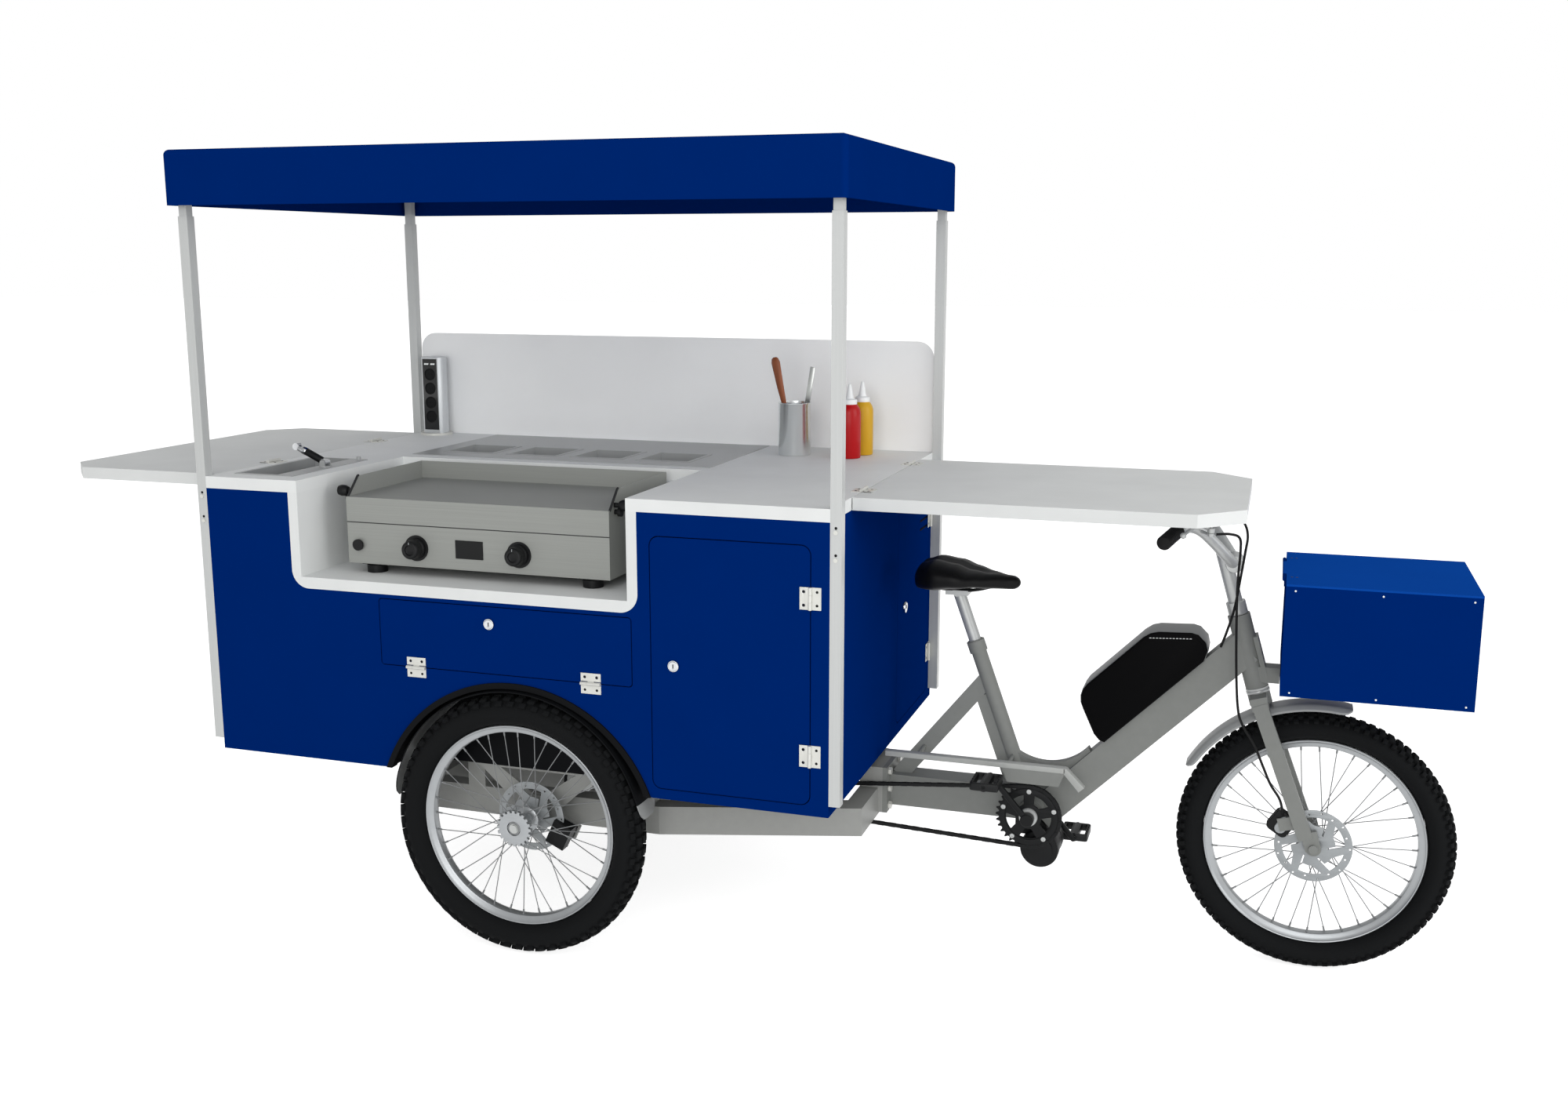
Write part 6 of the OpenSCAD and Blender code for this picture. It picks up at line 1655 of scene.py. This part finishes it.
@dataclass
class Fastenings:
    """Hinge leaves, screws, rivets, lock caps and louvres."""

    side: float = 437.0
    length: float = 1366.0
    top: float = WORKTOP_Z
    hinge: float = 43.0
    leaf: float = 21.0
    sheet: float = 1.6

    def build(self) -> None:
        """Sets everything that holds the panels."""
        self.screws()
        self.rivets()
        self.locks()
        self.louvres()

    def leaf_spots(self, place: Point, along: Point, across: Point, out: Point) -> list[Spot]:
        """The two screws of one hinge leaf.

        Args:
            place: the hinge pin's middle, on the panel's face.
            along: the pin's direction.
            across: the way to the leaf.
            out: the way out of the panel.

        Returns:
            Their places.
        """
        base = Vector(place) + Vector(across) * self.leaf * 0.62 + Vector(out) * (self.sheet - 0.5)
        return [Spot(base + Vector(along) * self.hinge * s, facing(out)) for s in (-0.3, 0.3)]

    def moving_leaf(self) -> Shape:
        """A hinge's moving leaf: X to its free edge, Y along the pin and Z out of the panel."""
        half = self.hinge / 2
        leaf = Shape(HINGE)
        holes = [circle(self.leaf * 0.62, s * self.hinge * 0.3, 3.0, 16) for s in (-1, 1)]
        leaf.plate([[(4.4, -half), (self.leaf, -half), (self.leaf, half), (4.4, half)]] + holes, FLAT, 0, 2,
                   0.3)
        leaf.plate([[(0.6, -6.8), (4.6, -6.8), (4.6, 6.8), (0.6, 6.8)]], FLAT, 0.2, 2, 0.2)
        return leaf.lathe((0, -6.9, 3.8), TO_LEFT, [(0, 0), (3.7, 0), (3.7, 13.8), (0, 13.8)], 16)

    def screws(self) -> None:
        """Moving hinge leaves, the screws of all leaves and those of the posts, each on its own body."""
        held: dict[str, list[Spot]] = {}
        leaves: dict[str, list[Spot]] = {}

        def swing(body: str, place: Point, along: Point, across: Point, out: Point) -> None:
            """Adds a hinge's moving leaf and its screws."""
            held.setdefault(body, []).extend(self.leaf_spots(place, along, across, out))
            side = Vector(out).cross(Vector(across))
            turn = Matrix((Vector(across), side, Vector(out))).transposed().to_euler()
            leaves.setdefault(body, []).append(Spot(place, turn))

        def pair(body: str, place: Point, along: Point, across: Point, out: Point) -> None:
            """Adds the screws of a hinge's fixed and moving leaf."""
            other = tuple(-c for c in across)
            held.setdefault("cart", []).extend(self.leaf_spots(place, along, other, out))
            swing(body, place, along, across, out)

        for z in (484, 790):
            pair("side_door", (1329, -self.side, z), UP, BACK, TO_RIGHT)
        for x in (486.6, 877.6):
            pair("drop_flap", (x, -self.side, 587), FORWARD, UP, TO_RIGHT)
        for z in (484, 810):
            swing("front_door", (self.length, 397, z), UP, TO_RIGHT, FORWARD)
        for y in (-205, 205):
            pair("front_table", (self.length + 1, y, self.top), TO_LEFT, FORWARD, UP)
            pair("rear_table", (-1, y, self.top), TO_LEFT, BACK, UP)
        for x in (-11, self.length + 11):
            for s in (-1, 1):
                held["cart"] += [Spot((x, s * self.side, z), facing((0, s, 0))) for z in (925, 874)]
        for body, spots in held.items():
            screw = Shape(BLACK_METAL).lathe(ORIGIN, UP, [(0, 0.7), (0.9, 0.7), (1.0, 1.1), (2.1, 1.0),
                                                          (2.7, 0.5), (2.7, -0.8)], 14)
            REPEAT.set("hinge_screws_" + body, body, screw, spots)
        for body, spots in leaves.items():
            REPEAT.set("hinge_leaves_" + body, body, self.moving_leaf(), spots)

    def rivets(self) -> None:
        """Rivets of the front box and screws of its lid."""
        rivet = Shape(NOZZLE).lathe(ORIGIN, UP, [(0, 1.0), (1.1, 0.8), (1.8, 0.4), (2.0, -0.5)], 14)
        spots = [Spot((x, s * 166, z), facing((0, s, 0))) for x in (2184, 2336, 2489) for z in (611, 806)
                 for s in (-1, 1)]
        REPEAT.set("box_rivets", "cart", rivet, spots)
        screw = Shape(BLACK_METAL).lathe(ORIGIN, UP, [(0, 0.4), (1.6, 0.4), (2.4, 0.2), (2.4, -1)], 12)
        spots = [Spot((2181 + d, y, 818), facing(UP)) for y in (-96, 100) for d in (-4, 5)]
        REPEAT.set("lid_screws", "box_lid", screw, spots)

    def locks(self) -> None:
        """Round chrome caps with a key slot over the three locks."""
        for body, place, out in (("side_door_lock", (1054, -self.side, 638), TO_RIGHT),
                                 ("flap_lock", (657.6, -self.side, 691), TO_RIGHT),
                                 ("front_door_lock", (self.length, 155, 647.5), FORWARD)):
            cap = Shape(CHROME, PLASTIC)
            cap.lathe(place, out, [(0, 5.8), (5.5, 5.8), (7.6, 6.4), (8.8, 6.2), (9.4, 5.4), (10.8, 4.6),
                                   (11.4, 3), (11.4, 0.4), (0, 0.4)], 32)
            tip = Vector(place) + Vector(out) * 5.6
            reach = Vector((1, 1, 1)) * 0.9 + Vector((0, 0, 3))
            cap.use(PLASTIC).box(tip - reach, tip + reach, 0.2)
            cap.piece(body + "_cap", body)

    def louvres(self) -> None:
        """Five slanted blades in the front door."""
        blade = Shape(NAVY).box((-5.4, -41.6, -0.8), (5.4, 41.6, 0.8), 0.4)
        turn = Euler((0, math.radians(32), 0))
        REPEAT.set("door_louvres", "front_door", blade,
                   [Spot((self.length - 5, 343, 875 - 20 * i), turn) for i in range(5)])


def main() -> None:
    """Builds every sub-assembly in order."""
    logging.basicConfig(level=logging.INFO)
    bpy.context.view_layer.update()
    Studio().build()
    CarriedOver().dress()
    x, radius = FRONT_AXLE
    front = (x, 0.0, radius)
    Tyre("tyre_front", "front_wheel", "front_tyre", front, radius, FRONT_TYRE, around=84).build()
    Wheel("wheel_front", "front_wheel", "front_wheel", front, Side.RIGHT, rear=False).build()
    for side, body in ((Side.RIGHT, "right"), (Side.LEFT, "left")):
        x, radius = REAR_AXLE
        centre = (x, REAR_TRACK * side.value, radius)
        Tyre("tyre_" + body, body + "_wheel", body + "_tyre", centre, radius, REAR_TYRE).build()
        Wheel("wheel_" + body, body + "_wheel", body + "_wheel", centre, side, rear=True).build()
    for part in (Saddle(), Cables(), Bars(), Serving(), Drive(), Battery(), GriddleTrim(), RearGuards(),
                 ForkTrim(), Fastenings()):
        part.build()
        LOG.info("built %s", type(part).__name__)


if __name__ == "__main__":
    main()
